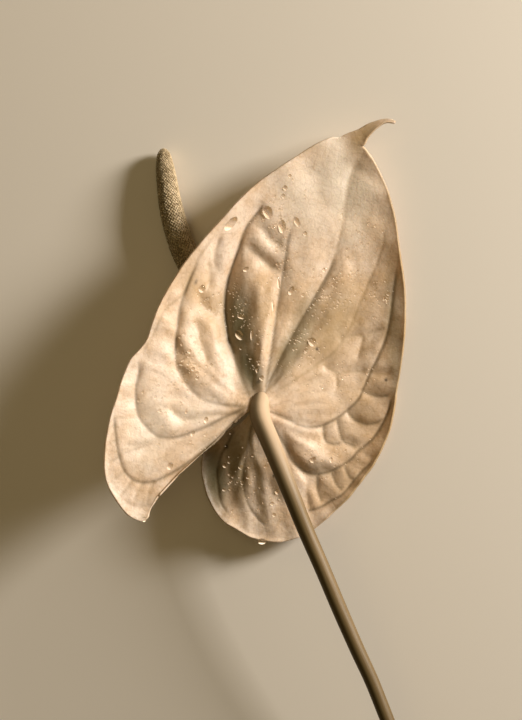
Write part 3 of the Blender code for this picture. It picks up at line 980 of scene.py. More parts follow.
# %% Select the neck
# Across, along, height and width.
TIP_WAY = (
    (33.2, 91.0, -0.5, 8.3),
    (34.8, 92.0, -0.1, 5.8),
    (36.9, 93.9, 0.4, 4.0),
    (39.4, 96.0, 1.0, 2.9),
    (41.5, 97.2, 1.4, 1.9),
    (43.9, 98.3, 1.6, 1.1),
    (46.6, 98.5, 1.6, 0.7),
    (48.1, 97.8, 1.4, 0.35),
)
TIP_STEP = 0.6
# Edges this near to the middle of the neck are drawn out.
NECK_HALF = 4.2


def select_neck(thing, middle):
    """Select the edges on the rim of the sheet that lie near the middle of the neck."""
    pick(thing)
    bpy.ops.object.mode_set(mode="EDIT")
    bpy.ops.mesh.select_mode(type="EDGE")
    bpy.ops.mesh.select_all(action="DESELECT")
    bpy.ops.object.mode_set(mode="OBJECT")
    for edge in thing.data.edges:
        a, b = edge.vertices
        if on_edge[a] and on_edge[b]:
            centre = (thing.data.vertices[a].co + thing.data.vertices[b].co) / (2 * MM)
            edge.select = (centre.xy - middle.xy).length < NECK_HALF


stations = np.array(TIP_WAY)
tip_way = smooth_line(np.column_stack([seen(stations[:, :3]), stations[:, 3]]), step=TIP_STEP)
neck_gaps = np.linalg.norm(fan_table[:, :2] - tip_way[0, :2], axis=1)
select_neck(spathe, Vector(fan_table[np.argmin(neck_gaps), :3]))
print(f"{sum(edge.select for edge in spathe.data.edges)} edges of the neck selected")

# %% Draw out the tip
# Over this the neck narrows into the tail.
NECK_BLEND = 4.0
# The tail is cupped: its sides stand up by this share of its width.
TIP_CUP = 0.12


def draw_out_tip(thing, way):
    """Extrude the selected neck along the tail. The new points first keep the neck's shape and
    then, over NECK_BLEND, take that of the tail: a straight cupped row across it."""
    start = None
    for k in range(1, len(way)):
        bpy.ops.object.mode_set(mode="EDIT")
        bpy.ops.mesh.extrude_region_move()
        bpy.ops.object.mode_set(mode="OBJECT")
        chosen = np.zeros(len(thing.data.vertices), bool)
        thing.data.vertices.foreach_get("select", chosen)
        chosen = np.flatnonzero(chosen)
        points = points_of(thing) / MM
        along = way[min(k + 1, len(way) - 1), :3] - way[k - 1, :3]
        side = np.cross(along, (0, 0, 1))
        side /= np.linalg.norm(side)
        if start is None:
            start = points[chosen]
            sort = np.argsort(np.argsort(start @ side))
            share = sort / (len(chosen) - 1) - 0.5
        gone = np.linalg.norm(way[k, :3] - way[0, :3])
        straight = way[k, :3] + np.outer(share * way[k, 3], side)
        straight[:, 2] += TIP_CUP * way[k, 3] * (4 * share**2 - 0.5)
        shifted = start + (way[k, :3] - way[0, :3])
        points[chosen] = mix(shifted, straight, min(1.0, gone / NECK_BLEND))
        move_points(thing, points * MM)
    return len(chosen), len(way) - 1


tip_wide, tip_steps = draw_out_tip(spathe, tip_way)
print(f"tip: {tip_wide} points wide, {tip_steps} steps long")

# %% [markdown]
# Extruding copies the attributes of the edge to every new point. The tail's own streak is written
# over them, and all else is cleared there.

# %% Colour the tail
tail_streak = streak_strength(look(points_of(spathe)[len(sheet):] / MM))
for name, share in (("tan", 1.0), ("green_and_shade", STREAK_GREEN)):
    numbers = spathe.data.attributes[name].data
    for k, strength in enumerate(tail_streak):
        numbers[len(sheet) + k].value = share * strength
for name in ("pale", "vein", "faint", "speck"):
    numbers = spathe.data.attributes[name].data
    for k in range(len(sheet), len(numbers)):
        numbers[k].value = 0.0
print(f"{len(tail_streak)} points of the tail coloured")

# %% [markdown]
# ## Spathe: its thickness
# The sheet gets its thickness on the side of the spadix, with Solidify. That side gets its own
# material slot, because the face of the flower is smoother and glossier than its back. The back is
# evened out a little before that, so that the grooves have no sharp bottoms. The face is evened out
# more afterwards, because on the real flower the veins show through on it only softly.

# %% Even out the back
# How often each side is evened out.
BACK_SMOOTH = 2
FACE_SMOOTH = 14


def border_points(thing):
    """Which points lie on an edge with one face only."""
    uses = np.empty(len(thing.data.loops), int)
    thing.data.loops.foreach_get("edge_index", uses)
    ends = np.empty(2 * len(thing.data.edges), int)
    thing.data.edges.foreach_get("vertices", ends)
    border = np.zeros(len(thing.data.vertices), bool)
    border[ends.reshape(-1, 2)[np.bincount(uses) == 1]] = True
    return border


def smooth_points(thing, chosen, times):
    """Even out the chosen points, as Smooth Vertices does."""
    pick(thing)
    bpy.ops.object.mode_set(mode="EDIT")
    bpy.ops.mesh.select_mode(type="VERT")
    bpy.ops.mesh.select_all(action="DESELECT")
    bpy.ops.object.mode_set(mode="OBJECT")
    thing.data.vertices.foreach_set("select", chosen)
    bpy.ops.object.mode_set(mode="EDIT")
    bpy.ops.mesh.vertices_smooth(factor=0.5, repeat=times)
    bpy.ops.object.mode_set(mode="OBJECT")


pick(spathe)
bpy.ops.object.mode_set(mode="EDIT")
bpy.ops.mesh.select_all(action="SELECT")
bpy.ops.mesh.normals_make_consistent(inside=False)
bpy.ops.object.mode_set(mode="OBJECT")
up = sum(face.normal.z * face.area for face in spathe.data.polygons)
if up < 0:
    spathe.data.flip_normals()
border = border_points(spathe)
smooth_points(spathe, ~border, BACK_SMOOTH)
print(f"{border.sum()} of {len(border)} points lie on the border and stay")

# %% Thickness
SPATHE_THICK = 0.85

# The back is kept as it is now, for the drops that will sit on it.
back_tree = BVHTree.FromPolygons(
    [vertex.co for vertex in spathe.data.vertices], [face.vertices for face in spathe.data.polygons]
)
wall = spathe.modifiers.new("thickness", "SOLIDIFY")
wall.thickness = SPATHE_THICK * MM
wall.offset = -1.0
wall.material_offset = 1
wall.material_offset_rim = 0
bpy.ops.object.modifier_apply(modifier=wall.name)
smooth_points(spathe, np.concatenate([np.zeros(len(border), bool), ~border]), FACE_SMOOTH)
bpy.ops.object.shade_smooth()
lay_down(spathe)
print(f"spathe sheet: {len(spathe.data.polygons)} faces")

# %% [markdown]
# ## Spathe: its finish
# A spathe is a bract, which is waxy leaf tissue. Its back is satin: blotched, finely mottled, with
# fibres that fan out from the sinus and a net of the smallest veins. Its face is smoother and
# glossier, with fainter veins. It could be painted as one image, but patterns worked out in the
# material stay sharp from near and need no file.
#
# Every colour here is a coat over the one before it, from the palest tissue up to the dark veins,
# so two helpers are enough: one for a coat, the other for a pattern's scale.

# %% Coats of colour
def coat(material, under, colour, share, strength=1.0, between=None):
    """Lay a colour over another as thickly as `share` says, and return the result. `between` holds
    the values of the share where the coat begins and where it is whole."""
    if between:
        share = add_node(material, "MapRange", {
            "Value": share, "From Min": between[0], "From Max": between[1],
        }, interpolation_type="SMOOTHSTEP").outputs["Result"]
    thick = add_node(material, "Math", {0: share, 1: strength}, operation="MULTIPLY")
    under, colour = (linear(c) if isinstance(c, str) else c for c in (under, colour))
    mixed = add_node(material, "Mix", {0: thick.outputs[0], 6: under, 7: colour}, data_type="RGBA")
    return mixed.outputs[2]


def per(size):
    """The scale of a pattern whose features are `size` mm, on coordinates in metres."""
    return 1 / (size * MM)


print(f"a pattern 1 mm wide has the scale {per(1.0):.0f}")

# %% [markdown]
# The sizes below are those of the real tissue, in millimetres, but for two. Its cells are about
# 0.05 mm across and its fibres about 0.2 mm, and a dot of the picture is 0.35 mm, so neither would
# show. The grain stands for the cells and the fibres for bundles of fibres, both drawn coarser.

# %% Finish of the spathe
BLOTCH = 11.0
MOTTLE = 1.5
NET = 3.0
# Drawn coarser than life. The fibres are 0.8 degrees wide as seen from the sinus.
GRAIN = 0.7
FIBRE_DEGREES = 0.8
FIBRE_LENGTH = 14.0


def waxy_bract(name, pale, warm, roughness, veins):
    """Waxy bract tissue. The wax gives a soft sheen, the light that enters it a warm glow, and the
    coats give blotches, fibres, mottling, pale, tan and green areas that are partly painted light
    and shade, the net, veins and specks."""
    material, shader = new_material(name, Roughness=roughness, Subsurface_Weight=0.12,
                                    Subsurface_Radius=(1.0, 0.75, 0.45), Subsurface_Scale=0.002)
    at = add_node(material, "TexCoord").outputs["Object"]
    fan = add_node(material, "Attribute", attribute_name="fan").outputs["Vector"]
    along_ribs = add_node(material, "Mapping", {
        "Vector": fan, "Scale": (1 / FIBRE_DEGREES, 1 / FIBRE_LENGTH, 1.0)}).outputs[0]
    broad, fibre, mottle, grain = (
        add_node(material, "TexNoise", {
            "Vector": where, "Scale": scale, "Detail": detail, "Roughness": rough,
        }).outputs["Fac"]
        for where, scale, detail, rough in (
            (at, per(BLOTCH), 5.0, 0.6), (along_ribs, 1.0, 4.0, 0.65),
            (at, per(MOTTLE), 3.0, 0.5), (at, per(GRAIN), 4.0, 0.5),
        )
    )
    cells = add_node(material, "TexVoronoi", {"Vector": at, "Scale": per(NET)},
                     feature="DISTANCE_TO_EDGE")
    net = add_node(material, "MapRange", {
        "Value": cells.outputs["Distance"], "From Min": 0.12, "From Max": 0.0,
    }, interpolation_type="SMOOTHSTEP").outputs["Result"]
    kept = {
        part: add_node(material, "Attribute", attribute_name=part).outputs["Fac"]
        for part in ("pale", "tan", "green_and_shade", "faint", "vein", "speck")
    }
    colour = pale
    # The pale, tan and green coats are partly painted light and shade.
    for over, share, strength, between in (
        (warm, broad, 1.0, (0.35, 0.7)),
        ("#b8966c", fibre, 0.14, (0.45, 0.75)),
        ("#b08f62", mottle, 0.3, (0.48, 0.7)),
        ("#fff0de", kept["pale"], 0.8, None),
        ("#bd9a68", kept["tan"], 0.72, None),
        ("#5a5a39", kept["green_and_shade"], 0.85, None),
        ("#8d7148", net, 0.09, None),
        ("#8f7446", kept["faint"], 0.5 * veins, None),
        ("#54431c", kept["vein"], veins, None),
        ("#1d160c", kept["speck"], 1.0, None),
    ):
        colour = coat(material, colour, over, share, strength, between)
    height = 0.0
    for pattern, share in ((fibre, 0.16), (grain, 0.25), (net, -0.04), (broad, 1.2), (mottle, 0.35)):
        height = add_node(material, "Math", {0: pattern, 1: share, 2: height},
                          operation="MULTIPLY_ADD").outputs[0]
    dent = add_node(material, "Bump", {"Height": height, "Strength": 0.45, "Distance": 0.0006})
    material.node_tree.links.new(colour, shader.inputs["Base Color"])
    material.node_tree.links.new(dent.outputs["Normal"], shader.inputs["Normal"])
    return material


# Satin back with clear veins, then a glossier face on which they are faint.
spathe.data.materials.append(waxy_bract("waxy_bract_back", "#efdac6", "#e0c2a2", 0.46, 0.7))
spathe.data.materials.append(waxy_bract("waxy_bract_face", "#f0dcc4", "#e6cba8", 0.26, 0.35))
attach(spathe, "root")
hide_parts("spathe")
print(f"{len(spathe.data.materials)} materials on the sheet")

# %% [markdown]
# ## Stem
# The stem, which botanists call the peduncle, is a smooth round rod. It is bent in space, thickens
# under the spathe and is cut at a slant. It could be a curve with a round bevel, but then its cut end
# couldn't be shaped and the fine lines along it would have nothing to follow. So it is a straight
# rod that remembers its straight shape in an attribute, and a Curve modifier bends it.

# %% Bend a rod along a line
def bend_along(thing, name, way, step):
    """Bend an upright rod, 1 mm in radius, along a line with a Curve modifier. The line's own
    radius makes it thicker and thinner."""
    stations = np.array(way)
    rows = smooth_line(np.column_stack([seen(stations[:, :3]), stations[:, 3]]), step=step)
    line = bpy.data.curves.new(name, "CURVE")
    line.dimensions = "3D"
    line.twist_mode = "MINIMUM"
    spline = line.splines.new("POLY")
    spline.points.add(len(rows) - 1)
    for point, (x, y, z, radius) in zip(spline.points, rows):
        point.co = (x * MM, y * MM, z * MM, 1.0)
        point.radius = radius
    guide = bpy.data.objects.new(name, line)
    bpy.context.scene.collection.objects.link(guide)
    pick(thing)
    bend = thing.modifiers.new("bend", "CURVE")
    bend.object = guide
    bend.deform_axis = "POS_Z"
    bpy.ops.object.modifier_apply(modifier=bend.name)
    bpy.data.objects.remove(guide)

# %% An upright rod
LENGTH_ROWS = 400


def length_of(way):
    """The length of a smooth line through the stations."""
    rows = smooth_line(seen(np.array(way)[:, :3]), count=LENGTH_ROWS)
    return float(np.linalg.norm(np.diff(rows[:, :3], axis=0), axis=1).sum())


def add_rod(name, length, sides, rings):
    """An upright rod 1 mm in radius, with rings of edges along it."""
    deselect()
    bpy.ops.mesh.primitive_cylinder_add(
        vertices=sides, radius=MM, depth=length * MM, location=(0, 0, length * MM / 2)
    )
    rod = bpy.context.object
    rod.name = name
    bpy.ops.object.transform_apply(location=True, rotation=False, scale=False)
    bpy.ops.object.mode_set(mode="EDIT")
    bpy.ops.mesh.select_mode(type="EDGE")
    bpy.ops.mesh.select_all(action="DESELECT")
    bpy.ops.object.mode_set(mode="OBJECT")
    for edge in rod.data.edges:
        a, b = (rod.data.vertices[i].co for i in edge.vertices)
        edge.select = abs(a.z - b.z) > length * MM / 2
    bpy.ops.object.mode_set(mode="EDIT")
    bpy.ops.mesh.subdivide(number_cuts=rings)
    bpy.ops.object.mode_set(mode="OBJECT")
    return rod

# %% Line of the stem
# Across, along, height and radius, from the spathe to the cut.
STEM_WAY = (
    (1.6, 3.6, -4.6, 1.6),
    (1.3, 2.2, -3.9, 2.6),
    (0.9, 0.6, -3.2, 3.2),
    (0.5, -1.4, -2.3, 3.5),
    (0.5, -3.8, -1.0, 3.6),
    (1.2, -6.9, 0.9, 3.5),
    (2.5, -9.8, 2.5, 3.45),
    (5.5, -16.8, 5.4, 3.35),
    (11.1, -30.8, 8.8, 3.05),
    (16.75, -44.8, 11.0, 2.85),
    (22.85, -58.8, 12.4, 2.75),
    (28.75, -72.8, 13.2, 2.7),
    (34.9, -86.8, 13.6, 2.6),
    (41.2, -100.8, 13.6, 2.5),
    (60.5, -157.5, 12.4, 2.5),
    (68.1, -216.9, 9.6, 2.6),
    (61.7, -287.4, 5.4, 2.75),
)
stem_length = length_of(STEM_WAY)
print(f"the stem will be {stem_length:.0f} mm long")

# %% Bend the stem and cut it
STEM_STEP = 3.0
STEM_SIDES = 32
STEM_RINGS = 99
CUT_SLANT = math.radians(25.0)
# The cut's outer ring stands a little proud of the pith: its width and height.
CUT_RIM = 0.4
CUT_DIP = 0.08
SHARP_ANGLE = math.radians(40)

stem = add_rod("stem", stem_length, STEM_SIDES, STEM_RINGS)
keep(stem, "straight", points_of(stem) / MM)
bend_along(stem, "stem_line", STEM_WAY, STEM_STEP)
way = smooth_line(seen(np.array(STEM_WAY)[:, :3]), step=STEM_STEP)
end = Vector(way[-1])
along = (end - Vector(way[-2])).normalized()
across = along.cross(Vector((0, 0, 1))).normalized()
cut_facing = Matrix.Rotation(CUT_SLANT, 3, across) @ along
pick(stem)
bpy.ops.object.mode_set(mode="EDIT")
bpy.ops.mesh.select_all(action="SELECT")
bpy.ops.mesh.bisect(
    plane_co=(end - along * STEM_WAY[-1][3] * math.tan(CUT_SLANT)) * MM,
    plane_no=cut_facing,
    clear_outer=True,
    use_fill=True,
)
bpy.ops.mesh.select_mode(type="FACE")
bpy.ops.mesh.inset(thickness=CUT_RIM * MM, depth=-CUT_DIP * MM)
bpy.ops.object.mode_set(mode="OBJECT")
bpy.ops.object.shade_smooth_by_angle(angle=SHARP_ANGLE)
print(f"stem cut at {math.degrees(CUT_SLANT):.0f} degrees, {len(stem.data.polygons)} faces")

# %% [markdown]
# ## Stem: its finish
# The skin of the stem is waxy too, but duller. It has fine lines along it and patches. Its pale top,
# its darker lower part and its darker olive left side are painted light and shade. The cut shows pale
# wet pith with darker vessels. The real lines are about 0.1 mm apart, which wouldn't show, so they
# are drawn 0.25 mm wide.

# %% Skin of the stem
LINE_WIDTH = 0.25
LINE_LENGTH = 20.0
PATCH = 8.0


def keep_left_for_painted_shade(thing):
    """Keep how far each point faces to the left, from -1 to 1: the mask of painted shade on the side
    away from the lamp.
    """
    normals = np.empty(3 * len(thing.data.vertices))
    thing.data.vertices.foreach_get("normal", normals)
    keep(thing, "left", -normals.reshape(-1, 3)[:, 0])


def waxy_stem_skin():
    """Waxy skin, with a dull sheen. The coats give lines along it and patches, then painted light
    and shade: a pale top, a darker lower part and a darker olive left side. The top and the lower part
    are set in millimetres from the top, where they change along the stem."""
    material, shader = new_material("waxy_stem_skin", Roughness=0.5, Specular_IOR_Level=0.35)
    straight = add_node(material, "Attribute", attribute_name="straight").outputs["Vector"]
    left = add_node(material, "Attribute", attribute_name="left").outputs["Fac"]
    length = add_node(material, "SeparateXYZ", {0: straight}).outputs["Z"]
    lines_at = add_node(material, "Mapping", {
        "Vector": straight, "Scale": (1 / LINE_WIDTH, 1 / LINE_WIDTH, 1 / LINE_LENGTH)}).outputs[0]
    lines = add_node(material, "TexNoise", {
        "Vector": lines_at, "Scale": 1.0, "Detail": 4.0}).outputs["Fac"]
    patches = add_node(material, "TexNoise", {
        "Vector": straight, "Scale": 1 / PATCH, "Detail": 3.0}).outputs["Fac"]
    colour = "#86704f"
    for over, share, strength, between in (
        ("#6f5a38", lines, 1.0, (0.35, 0.7)),
        ("#66532f", patches, 0.4, None),
        # Painted light and shade: paler at the top, darker lower down and on the left side.
        ("#cbb294", length, 1.0, (52.0, 10.0)),
        ("#54431f", length, 0.5, (70.0, 130.0)),
        ("#4f4323", left, 0.8, (-0.25, 0.45)),
    ):
        colour = coat(material, colour, over, share, strength, between)
    dent = add_node(material, "Bump", {"Height": lines, "Strength": 0.35, "Distance": 0.0002})
    material.node_tree.links.new(colour, shader.inputs["Base Color"])
    material.node_tree.links.new(dent.outputs["Normal"], shader.inputs["Normal"])
    return material


keep_left_for_painted_shade(stem)
stem.data.materials.clear()
stem.data.materials.append(waxy_stem_skin())
print(f"lines {LINE_WIDTH} mm wide, patches {PATCH:.0f} mm")

# %% Pith of the cut end
VESSEL = 0.5
PITH_FACING = 0.98
PITH_NEAR = 6.0


def wet_pith():
    """Freshly cut pith: wet, so it shines more than the skin, and pale with darker vessels."""
    material, shader = new_material("wet_pith", Roughness=0.35)
    at = add_node(material, "TexCoord").outputs["Object"]
    vessels = add_node(material, "TexVoronoi", {"Vector": at, "Scale": per(VESSEL)})
    colour = coat(material, "#8d7a4a", "#d6c79a", vessels.outputs["Distance"], 1.0, (0.1, 0.35))
    material.node_tree.links.new(colour, shader.inputs["Base Color"])
    return material


stem.data.materials.append(wet_pith())
for face in stem.data.polygons:
    if face.normal.dot(cut_facing) > PITH_FACING and (face.center / MM - end).length < PITH_NEAR:
        face.material_index = 1
lay_down(stem)
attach(stem, "root")
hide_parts("peduncle")
print(f"{sum(face.material_index for face in stem.data.polygons)} faces of pith")

# %% [markdown]
# ## Spadix
# The spadix is the spike that carries the true flowers, called florets. Its core is a rod bent along
# a line, as the stem is, and sunk a little, so that the florets cover it.

# %% Core of the spadix
# Across, along, height and radius, from the spathe to the tip.
SPADIX_WAY = (
    (-0.4, 1.6, -7.1, 2.9),
    (-1.4, 4.0, -8.1, 3.9),
    (-4.0, 9.2, -9.8, 4.5),
    (-8.5, 18.0, -12.1, 4.75),
    (-17.2, 35.5, -15.0, 4.85),
    (-26.1, 53.2, -17.4, 4.75),
    (-29.5, 63.7, -18.6, 4.5),
    (-31.0, 70.7, -19.4, 4.2),
    (-32.0, 77.7, -20.2, 3.8),
    (-32.8, 84.2, -21.0, 3.05),
    (-33.0, 86.8, -21.3, 2.3),
    (-33.1, 88.4, -21.5, 1.1),
)
CORE_SINK = 0.45
CORE_LEAST = 0.5
CORE_SIDES = 28
CORE_RINGS = 60
CORE_STEP = 2.0

core_way = [(x, y, z, max(CORE_LEAST, radius - CORE_SINK)) for x, y, z, radius in SPADIX_WAY]
spadix_length = length_of(SPADIX_WAY)
spadix = add_rod("spadix_spike", spadix_length, CORE_SIDES, CORE_RINGS)
bend_along(spadix, "spadix_line", core_way, CORE_STEP)
bpy.ops.object.shade_smooth()
print(f"spadix {spadix_length:.0f} mm long")

# %% [markdown]
# One floret is a low four-sided cushion with a hollow and a small stigma in its middle. Twenty-two
# of them make a ring. No two are quite alike on the real spike, so each is moved, tilted and scaled
# a little at random. Only the first is modelled, and the others are copies of it.

# %% One floret
FLORETS_ROUND = 22
RING_RADIUS = 4.75
FLORET_HALF = math.pi * RING_RADIUS / FLORETS_ROUND
# Its foot and its top are this wide, as shares of its place in the ring.
FLORET_FOOT = 1.04
FLORET_TOP = 0.62
FLORET_TALL = 0.36
HOLLOW_RIM = 0.1
HOLLOW_DEEP = 0.08
STIGMA_RIM = 0.06
STIGMA_TALL = 0.14
STIGMA_TAPER = 0.6
TOP_FACING = 0.9


def add_floret():
    """A cushion with its top at zero, then a hollow in it and the stigma in that."""
    deselect()
    bpy.ops.mesh.primitive_cone_add(
        vertices=4, radius1=FLORET_FOOT * FLORET_HALF * MM, radius2=FLORET_TOP * FLORET_HALF * MM,
        depth=FLORET_TALL * MM, location=(0, 0, -FLORET_TALL / 2 * MM),
    )
    floret = bpy.context.object
    bpy.ops.object.transform_apply(location=True, rotation=False, scale=False)
    bpy.ops.object.mode_set(mode="EDIT")
    bpy.ops.mesh.select_mode(type="FACE")
    bpy.ops.mesh.select_all(action="DESELECT")
    bpy.ops.object.mode_set(mode="OBJECT")
    for face in floret.data.polygons:
        face.select = face.normal.z > TOP_FACING
    bpy.ops.object.mode_set(mode="EDIT")
    bpy.ops.mesh.inset(thickness=HOLLOW_RIM * MM, depth=-HOLLOW_DEEP * MM)
    bpy.ops.mesh.inset(thickness=STIGMA_RIM * MM, depth=0.0)
    bpy.ops.mesh.extrude_region_move(TRANSFORM_OT_translate={"value": (0, 0, STIGMA_TALL * MM)})
    bpy.ops.transform.resize(value=(STIGMA_TAPER, STIGMA_TAPER, 1.0))
    bpy.ops.object.mode_set(mode="OBJECT")
    bpy.ops.object.shade_smooth()
    return floret


floret = add_floret()
print(f"floret {len(floret.data.polygons)} faces, {2 * FLORET_HALF:.2f} mm to the next")

# %% One ring of florets
SEED = 7
OUT_RANDOM = 0.06
TILT_RANDOM = 0.22
SIZE_RANDOM = (0.85, 1.1)


def copy_of(thing, matrix):
    """A copy with its own mesh, moved by a matrix."""
    copy = thing.copy()
    copy.data = thing.data.copy()
    copy.data.transform(matrix)
    bpy.context.scene.collection.objects.link(copy)
    return copy


def join(things, name):
    """Join objects into the first of them."""
    deselect()
    for thing in things:
        thing.select_set(True)
    bpy.context.view_layer.objects.active = things[0]
    bpy.ops.object.join()
    things[0].name = name
    return things[0]


upright = Matrix.Rotation(math.pi / 2, 4, "Y")
random = np.random.default_rng(SEED)
ring = join([
    copy_of(floret, Matrix.Rotation(2 * math.pi * k / FLORETS_ROUND, 4, "Z")
            @ Matrix.Translation(((RING_RADIUS + random.uniform(-OUT_RANDOM, OUT_RANDOM)) * MM, 0, 0))
            @ upright
            @ Euler(random.uniform(-TILT_RANDOM, TILT_RANDOM, 3)).to_matrix().to_4x4()
            @ Matrix.Scale(random.uniform(*SIZE_RANDOM), 4))
    for k in range(FLORETS_ROUND)
], "floret_ring")
print(f"ring of {FLORETS_ROUND} florets, {len(ring.data.polygons)} faces")

# %% [markdown]
# The ring is copied along the spike, square to it and scaled to its radius. Each copy is turned by a
# random odd number of half-florets, so that the florets interlock as bricks do, while the same chance
# differences never line up along the spike.

# %% Rings along the spike
RING_STEP = 0.72
FLORET_RISE = 0.16
SPIKE_STEP = 0.1
# Where the first ring is, and how much of the tip is left for the cap.
FIRST_RING = 1.5
TIP_LEFT = 0.2
# The spike's direction is measured over this much to each side.
AHEAD = 0.5
SIZE_LEAST = 0.5

stations = np.array(SPADIX_WAY)
spike = smooth_line(np.column_stack([seen(stations[:, :3]), stations[:, 3]]), step=SPIKE_STEP)
run = np.arange(len(spike)) * (spadix_length / (len(spike) - 1))
rings = []
at = FIRST_RING
turn = 0.0
side = Vector((1, 0, 0))
while at < spadix_length - TIP_LEFT:
    behind, row, ahead = (
        np.array([np.interp(at + step, run, column) for column in spike.T])
        for step in (-AHEAD, 0.0, AHEAD)
    )
    along = Vector(ahead[:3] - behind[:3]).normalized()
    side = (side - along * side.dot(along)).normalized()
    up = along.cross(side)
    frame_here = Matrix((side, up, along)).transposed().to_4x4()
    size = (row[3] - FLORET_RISE) / RING_RADIUS
    rings.append(copy_of(ring, Matrix.Translation(Vector(row[:3]) * MM) @ frame_here
                         @ Matrix.Rotation(turn, 4, "Z") @ Matrix.Scale(size, 4)))
    turn += (2 * random.integers(FLORETS_ROUND) + 1) * math.pi / FLORETS_ROUND
    at += RING_STEP * max(SIZE_LEAST, size)
last = Vector(spike[-1, :3]) * MM
cap = copy_of(floret, Matrix.Translation(last) @ frame_here)
spadix = join([spadix, *rings, cap], "spadix_spike")
bpy.data.objects.remove(floret)
bpy.data.objects.remove(ring)
keep_left_for_painted_shade(spadix)
lay_down(spadix)
print(f"spadix: {len(rings)} rings, {len(spadix.data.polygons)} faces")

# %% [markdown]
# ## Spadix: its finish
# Florets are waxy like the spathe. Each is a slightly different cream, so every cell of a Voronoi
# pattern, 1.25 mm wide as a floret is, takes its own tone. The real stigmas and pollen are pale
# dots of about 0.2 mm, too fine to show, so they are drawn 0.55 mm wide. The left side is painted
# darker olive, as painted shade on the side away from the lamp.

# %% Finish of the spadix
FLORET_SHADE = 1.25
# Drawn coarser than life.
FLORET_SPECK = 0.55


def waxy_florets():
    """Waxy florets. The coats give each its own tone, pale dusty tips, and an olive left side that is
    painted shade.
    """
    material, shader = new_material("waxy_florets", Roughness=0.45)
    at = add_node(material, "TexCoord").outputs["Object"]
    left = add_node(material, "Attribute", attribute_name="left").outputs["Fac"]
    cells = add_node(material, "TexVoronoi", {"Vector": at, "Scale": per(FLORET_SHADE)})
    shade = add_node(material, "SeparateColor", {"Color": cells.outputs["Color"]}).outputs["Red"]
    dust = add_node(material, "TexNoise", {
        "Vector": at, "Scale": per(FLORET_SPECK), "Detail": 3.0}).outputs["Fac"]
    colour = "#a38c66"
    for over, share, strength, between in (
        ("#dcc6a2", shade, 1.0, None),
        # Painted shade: darker olive on the left side, away from the lamp.
        ("#5c5330", left, 0.75, (-0.35, 0.35)),
        ("#efddb8", dust, 1.0, (0.51, 0.68)),
    ):
        colour = coat(material, colour, over, share, strength, between)
    dent = add_node(material, "Bump", {"Height": dust, "Strength": 0.5, "Distance": 0.0002})
    material.node_tree.links.new(colour, shader.inputs["Base Color"])
    material.node_tree.links.new(dent.outputs["Normal"], shader.inputs["Normal"])
    return material


spadix.data.materials.clear()
spadix.data.materials.append(waxy_florets())
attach(spadix, "root")
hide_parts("spadix")
print(f"shades {FLORET_SHADE} mm wide, dust {FLORET_SPECK} mm")

# %% [markdown]
# ## Water drops
# Each drop is a low dome of clear water that sits on the sheet. The large ones are traced one by one.
# The hundreds of tiny ones are sprinkled at random in patches, since no eye follows them one by one.
# Two drops hang from the lower edges.

